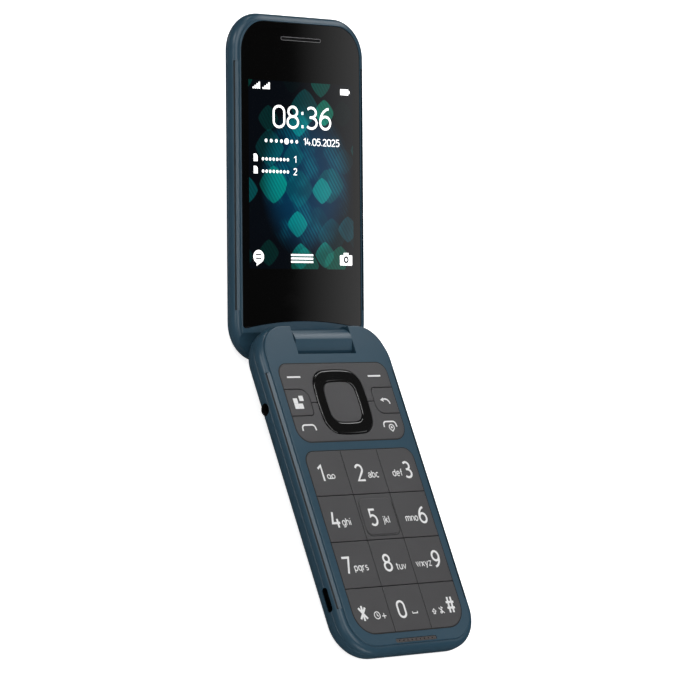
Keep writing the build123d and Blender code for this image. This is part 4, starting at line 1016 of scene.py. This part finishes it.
class PHONE_OT_navigation_marks(bpy.types.Operator):
    """Prints the signs of the keys round the navigation ring"""

    bl_idname = "phone.navigation_marks"
    bl_label = "Navigation marks"

    def execute(self, context):
        dashes = [path((-19.7, 53.5), (-14.3, 53.5)), path((13.6, 53.4), (18.9, 53.4))]
        calls = placed(HANDSET, -17.05, 36.85, 5.4) + placed(HANDSET, 16.5, 37.15, 5.3)
        arrowhead = np.array([(15.6, 45.3), (17.0, 44.6), (17.0, 46.1)])
        corners = [(-19.2, 45.7), (-19.2, 43.95), (-17.45, 43.95), (-16.7, 46.5)]
        squares = [rounded_box(x, y, 0.86, 0.86, 0.12) for x, y in corners]
        # each mark's key, its lines, their width and its plates
        marks = {
            "soft_key_marks": ("soft_key_bar", dashes, 0.55, []),
            "call_mark": ("call_end_bar", calls, 0.5, []),
            "pin_mark": ("call_end_bar", placed(LEAF, 16.9, 36.0, 2.4), 0.34, []),
            "back_mark": ("back_key", placed(BACK_ARROW, 17.6, 44.75, 3.6), 0.5, [arrowhead]),
            "shortcut_mark": ("shortcut_key", [], 0.0, squares),
        }
        for name, (body, strokes, line, plates) in marks.items():
            printed(name, on_base, strokes, line, KEY_TOP, body, FINISHES["legend"], plates)
        return {"FINISHED"}


def level_bars(x, foot, half_width, first, rise):
    """Four bars of a signal level side by side on one foot, each taller than the one before."""
    bars = []
    for step in range(4):
        half = (first + rise * step) / 2
        bars.append(rounded_box(x + 0.8 * step, foot + half, half_width, half, 0.08, 3))
    return bars


# the row of dots for the days of the week, from the first one: its place, spacing and today's number
WEEK = (-14.6, 39.2)
WEEK_STEP = 2.1
TODAY = 4
DAY_RADIUS = 0.55
TODAY_RADIUS = 0.95
LINE_FEET = {"1": 32.75, "2": 29.0}  # how high the row of each of the two lines stands
DARK_LIFT = 0.03  # of a dark sign over a lit one, and of a lit one over that
LENS_LIFT = 0.05


class PHONE_OT_screen(bpy.types.Operator):
    """Lights the signs of the main display: clock, date, levels and the three soft-key signs"""

    bl_idname = "phone.screen"
    bl_label = "Main display"

    def execute(self, context):
        def lit(name, strokes=(), width=0.0, plates=(), finish="lit", lift=0.0):
            strokes = [stroke + (0, SCREEN_LOW) for stroke in strokes]
            plates = [outline + (0, SCREEN_LOW) for outline in plates]
            level = GLASS_TOP + lift
            printed(name, on_lid, strokes, width, level, "lid", FINISHES[finish], plates)

        lit("clock", word("08:36", 0.35, 43.5, 6.4, 1.22), 0.76)
        lit("date", word("14.05.2025", 8.3, 38.3, 2.0, 1.25), 0.32)
        x, y = WEEK
        radii = [TODAY_RADIUS if day == TODAY else DAY_RADIUS for day in range(7)]
        lit("weekday", plates=[dot(x + WEEK_STEP * day, y, radius) for day, radius in enumerate(radii)])
        levels = level_bars(-19.6, 54.9, 0.31, 0.55, 0.52) + level_bars(-15.6, 54.9, 0.31, 0.55, 0.52)
        charge = [rounded_box(18.1, 55.35, 1.75, 0.95, 0.2), rounded_box(20.1, 55.35, 0.24, 0.45, 0.08, 3)]
        lit("status_signs", plates=levels + charge)
        card = np.array([(-19.7, 0.0), (-18.1, 0.0), (-18.1, 1.75), (-18.65, 2.3), (-19.7, 2.3)])
        for number, foot in LINE_FEET.items():
            dots = [dot(-15.9 + 1.45 * i, foot + 0.8, 0.5) for i in range(8)]
            lit("line_" + number, word(number, -2.7, foot, 1.9, 1.2), 0.34, [card + (0, foot), *dots])
        bubble = np.vstack([arc(-17.95, 3.65, 2.15, 2.05, 250, -70, 40), [(-18.9, 0.8)]])
        lit("message_sign", plates=[bubble])
        lines = [path((-19.1, height), (-16.9, height)) for height in (4.25, 3.15)]
        lit("message_lines", lines, 0.42, finish="lit_dark", lift=DARK_LIFT)
        lit("menu_sign", plates=[rounded_box(-0.1, 2.2 + 1.05 * i, 4.6, 0.29, 0.15) for i in range(3)])
        case = [rounded_box(18.35, 2.85, 2.6, 1.6, 0.3), rounded_box(18.35, 4.7, 1.05, 0.5, 0.15)]
        lit("camera_sign", plates=case)
        hole = arc(18.35, 3.05, 1.05, 1.1, 0, 350, 30)
        lit("camera_sign_hole", plates=[hole], finish="lit_dark", lift=DARK_LIFT)
        lit("camera_sign_lens", plates=[arc(18.35, 3.05, 0.5, 0.55, 0, 345, 20)], lift=LENS_LIFT)
        return {"FINISHED"}


class PHONE_OT_outer_screen(bpy.types.Operator):
    """Lights the small display on the back of the screen half: its clock, date and levels"""

    bl_idname = "phone.outer_screen"
    bl_label = "Outer display"

    def execute(self, context):
        v = OUTER_SCREEN_V
        plates = level_bars(-10.0, v + 15.0, 0.3, 0.6, 0.55)
        plates += [rounded_box(9.6, v + 16.1, 1.7, 0.85, 0.2), rounded_box(11.5, v + 16.1, 0.2, 0.4, 0.08, 3)]
        signs = {
            "outer_clock": (word("10:45", 0.0, v + 1.5, 5.2), 0.5, []),
            "outer_signs": (word("14.05", 0.0, v - 4.5, 2.6), 0.3, plates),
        }
        for name, (strokes, line, more) in signs.items():
            printed(name, on_lid_back, strokes, line, 0.0, "lid", FINISHES["lit_dim"], more)
        return {"FINISHED"}


class PHONE_OT_lenses(bpy.types.Operator):
    """Builds the outer camera's ring and lens, and the flash cover"""

    bl_idname = "phone.lenses"
    bl_label = "Camera and flash"

    def execute(self, context):
        ring = [(3.55, -0.02), (3.6, 0.1), (3.5, 0.22), (3.3, 0.26), (3.0, 0.24), (2.85, 0.12), (2.8, -0.02)]
        # each piece's profile, its place across, its slot and its finish
        pieces = {
            "camera_ring": (ring, 0.0, "steel", "trim"),
            "camera_lens": (bulge(2.82, 0.03, 0.09, 2), 0.0, "black_glass", "lens"),
            "flash_cover": (bulge(1.5, 0.02, 0.05, 4), -FLASH_X, "flash_lens", "flash"),
        }
        for name, (profile, x, slot, finish) in pieces.items():
            points, faces = turned(profile, x, CAMERA_V)
            new_piece(name, on_lid_back(points), faces, "lid", FINISHES[finish], smooth=True)
        return {"FINISHED"}


class PHONE_OT_earpiece_trim(bpy.types.Operator):
    """Builds the thin metal rim of the earpiece slot"""

    bl_idname = "phone.earpiece_trim"
    bl_label = "Earpiece trim"

    def execute(self, context):
        v, r = EARPIECE_V, EARPIECE_HALF_HEIGHT
        reach = EARPIECE_HALF_WIDTH - r
        rim = [path(arc(reach, v, r, r, -90, 90), arc(-reach, v, r, r, 90, 270), (reach, v - r))]
        level = GLASS_TOP + EARPIECE_LIFT
        printed("earpiece_rim", on_lid, rim, EARPIECE_RIM, level, "lid", FINISHES["trim"])
        return {"FINISHED"}


# ---------------------------------------------------------------- studio
CAMERA_PLACE = (-668.82, -233.66, 669.15)  # in the keypad half's plane, mm
CAMERA_RIGHT = (0.7353648, -0.28511695, 0.61477388)
CAMERA_DOWN = (-0.00666155, -0.91018323, -0.41415227)
CAMERA_FORWARD = (0.67763871, 0.30045766, -0.67121604)
CAMERA_CLIP = (0.05, 30.0)
SENSOR = 36.0
LENS = 171.64
SURROUND = 0.03  # how bright the room is that the phone mirrors
GRADE_REACH = 0.4
FILL = 0.8
FILL_SPREAD = 150
FLOOR_REACH = 6
FLOOR_GLOW = 0.9
# each light's place, what it aims at, the way its width runs, its width and height, its radiance
# and whether it fades to one side
LIGHTS = {
    "top_light": ((-0.1, -0.1, 1.3), (0, 0, 0), (1, 0, 0), (0.5, 1.6), 2.5, False),
    "left_strip": ((-0.79, 0.39, 0.95), (0, 0, 0), (0, 1, 0), (0.5, 0.16), 10.0, False),
    "lid_strip": ((-0.777, -0.281, 0.761), (0, 0, 0), (0, 1, 0), (0.3, 0.09), 9.0, False),
    "ring_lamp": ((0.185, 0.84, 0.6), (0, 0.03, 0.02), (1, 0, 0), (0.1, 0.1), 14.0, False),
    "end_light": ((-0.1, -1.2, 0.3), (0, 0, 0), (1, 0, 0), (0.9, 0.3), 3.0, False),
    "hinge_light": ((0.9, 0.8, 0.55), (0, 0, 0), (0, 1, 0), (0.4, 0.4), 2.0, False),
    "key_glow": ((0.279, 0.215, 0.308), (0, -0.017, 0.014), (1, 0, 0), (0.16, 0.16), 3.0, False),
    "glass_light": (
        (0.371, -0.091, 0.3416), (0.035, 0.061, 0.0036), (0.7405, 0.3054, -0.5987), (0.1, 0.24), 1.2, True
    ),
}


def in_frame(direction):
    """A direction of the keypad half's plane in the phone's frame."""
    return direction[0] * ACROSS + direction[1] * BASE_ALONG + direction[2] * BASE_UP


class PHONE_OT_stage(bpy.types.Operator):
    """Sets up the floor, the soft lights and the camera"""

    bl_idname = "phone.stage"
    bl_label = "Studio"

    def execute(self, context):
        scene = context.scene
        scene.view_settings.view_transform = "Standard"
        self.floor()
        self.world()
        self.lights()
        self.camera(scene)
        return {"FINISHED"}

    def floor(self):
        """A pale floor with a faint speckle, whose glow only the camera sees."""
        mesh = bpy.data.meshes.new("floor")
        r = FLOOR_REACH
        mesh.from_pydata([(-r, -r, 0), (r, -r, 0), (r, r, 0), (-r, r, 0)], [], [(0, 1, 2, 3)])
        floor = bpy.data.objects.new("floor", mesh)
        bpy.context.scene.collection.objects.link(floor)
        finish = Finish(
            "pale_floor", **{"Roughness": 0.9, "Specular IOR Level": 0.0, "Emission Strength": FLOOR_GLOW}
        )
        tone = finish.mix(finish.noise(finish.place(), 30.0), (0.86, 0.86, 0.86), (0.9, 0.9, 0.9))
        seen = finish.node("ShaderNodeLightPath", {}, {})["Is Camera Ray"]
        finish.surface(Base_Color=tone, Emission_Color=finish.mix(seen, (0.0, 0.0, 0.0), tone))
        mesh.materials.append(finish.material)
        floor.visible_glossy = False  # the phone mirrors a dark room

    def world(self):
        """White behind everything, and a dim grey for what the phone mirrors."""
        world = bpy.data.worlds.new("studio")
        bpy.context.scene.world = world
        world.use_nodes = True
        nodes, links = world.node_tree.nodes, world.node_tree.links
        ray = nodes.new("ShaderNodeLightPath")
        level = nodes.new("ShaderNodeMapRange")
        level.inputs["To Min"].default_value = SURROUND
        level.inputs["To Max"].default_value = 1.0
        links.new(ray.outputs["Is Camera Ray"], level.inputs["Value"])
        nodes["Background"].inputs["Color"].default_value = (1.0, 1.0, 1.0, 1.0)
        links.new(level.outputs["Result"], nodes["Background"].inputs["Strength"])

    def lights(self):
        """Rectangles of light aimed at the phone, and a wide fill that it doesn't mirror."""
        for name, (place, aim, turn, size, radiance, graded) in LIGHTS.items():
            light = bpy.data.lights.new(name, "AREA")
            light.shape = "RECTANGLE"
            light.size, light.size_y = size
            light.energy = radiance * math.pi * size[0] * size[1]
            lamp = bpy.data.objects.new(name, light)
            bpy.context.scene.collection.objects.link(lamp)
            back = np.array(place) - np.array(aim)
            back /= np.linalg.norm(back)
            side = np.array(turn) - np.dot(turn, back) * back
            side /= np.linalg.norm(side)
            set_axes(lamp, side, np.cross(back, side), back, place)
            if graded:
                self.grade(light)
        fill = bpy.data.lights.new("fill", "SUN")
        fill.energy = FILL
        fill.angle = math.radians(FILL_SPREAD)
        lamp = bpy.data.objects.new("fill", fill)
        bpy.context.scene.collection.objects.link(lamp)
        lamp.visible_glossy = False

    def grade(self, light):
        """A softbox whose light fades to nothing towards one edge."""
        light.use_nodes = True
        nodes, links = light.node_tree.nodes, light.node_tree.links
        where = nodes.new("ShaderNodeNewGeometry")
        split = nodes.new("ShaderNodeSeparateXYZ")
        ramp = nodes.new("ShaderNodeMapRange")
        ramp.inputs["From Max"].default_value = GRADE_REACH
        links.new(where.outputs["Parametric"], split.inputs["Vector"])
        links.new(split.outputs["X"], ramp.inputs["Value"])
        links.new(ramp.outputs["Result"], nodes["Emission"].inputs["Strength"])

    def camera(self, scene):
        """The camera, from its place and its three directions in the keypad half's plane."""
        lens = bpy.data.cameras.new("camera")
        lens.sensor_width = SENSOR
        lens.lens = LENS
        lens.clip_start, lens.clip_end = CAMERA_CLIP
        camera = bpy.data.objects.new("camera", lens)
        scene.collection.objects.link(camera)
        set_axes(
            camera,
            in_frame(CAMERA_RIGHT),
            -in_frame(CAMERA_DOWN),
            -in_frame(CAMERA_FORWARD),
            on_base([CAMERA_PLACE])[0],
        )
        scene.camera = camera


def set_axes(thing, right, up, back, place):
    """Turns and moves a light or camera: its three axes and its place are the matrix's columns."""
    rows = np.eye(4)
    rows[:3] = np.column_stack([right, up, back, place])
    thing.matrix_world = Matrix(rows.tolist())


class PHONE_PT_panel(bpy.types.Panel):
    """Lists the phone's settings and steps"""

    bl_idname = "PHONE_PT_panel"
    bl_label = "Phone"
    bl_space_type = "VIEW_3D"
    bl_region_type = "UI"
    bl_category = "Phone"

    def draw(self, context):
        for name in PhoneSettings.__annotations__:
            self.layout.prop(context.scene.phone_settings, name)
        for operator in OPERATORS:
            self.layout.operator(operator.bl_idname)


OPERATORS = (
    PHONE_OT_finishes,
    PHONE_OT_key_legends,
    PHONE_OT_key_gap_shadows,
    PHONE_OT_groove_shadows,
    PHONE_OT_jack_shadow,
    PHONE_OT_navigation_marks,
    PHONE_OT_screen,
    PHONE_OT_outer_screen,
    PHONE_OT_lenses,
    PHONE_OT_earpiece_trim,
    PHONE_OT_stage,
)
CLASSES = (PhoneSettings, *OPERATORS, PHONE_PT_panel)


def register():
    for cls in CLASSES:
        bpy.utils.register_class(cls)
    bpy.types.Scene.phone_settings = bpy.props.PointerProperty(type=PhoneSettings)


def unregister():
    del bpy.types.Scene.phone_settings
    for cls in reversed(CLASSES):
        bpy.utils.unregister_class(cls)


def main():
    register()
    for operator in OPERATORS:
        group, name = operator.bl_idname.split(".")
        getattr(getattr(bpy.ops, group), name)()


if __name__ == "__main__":
    main()
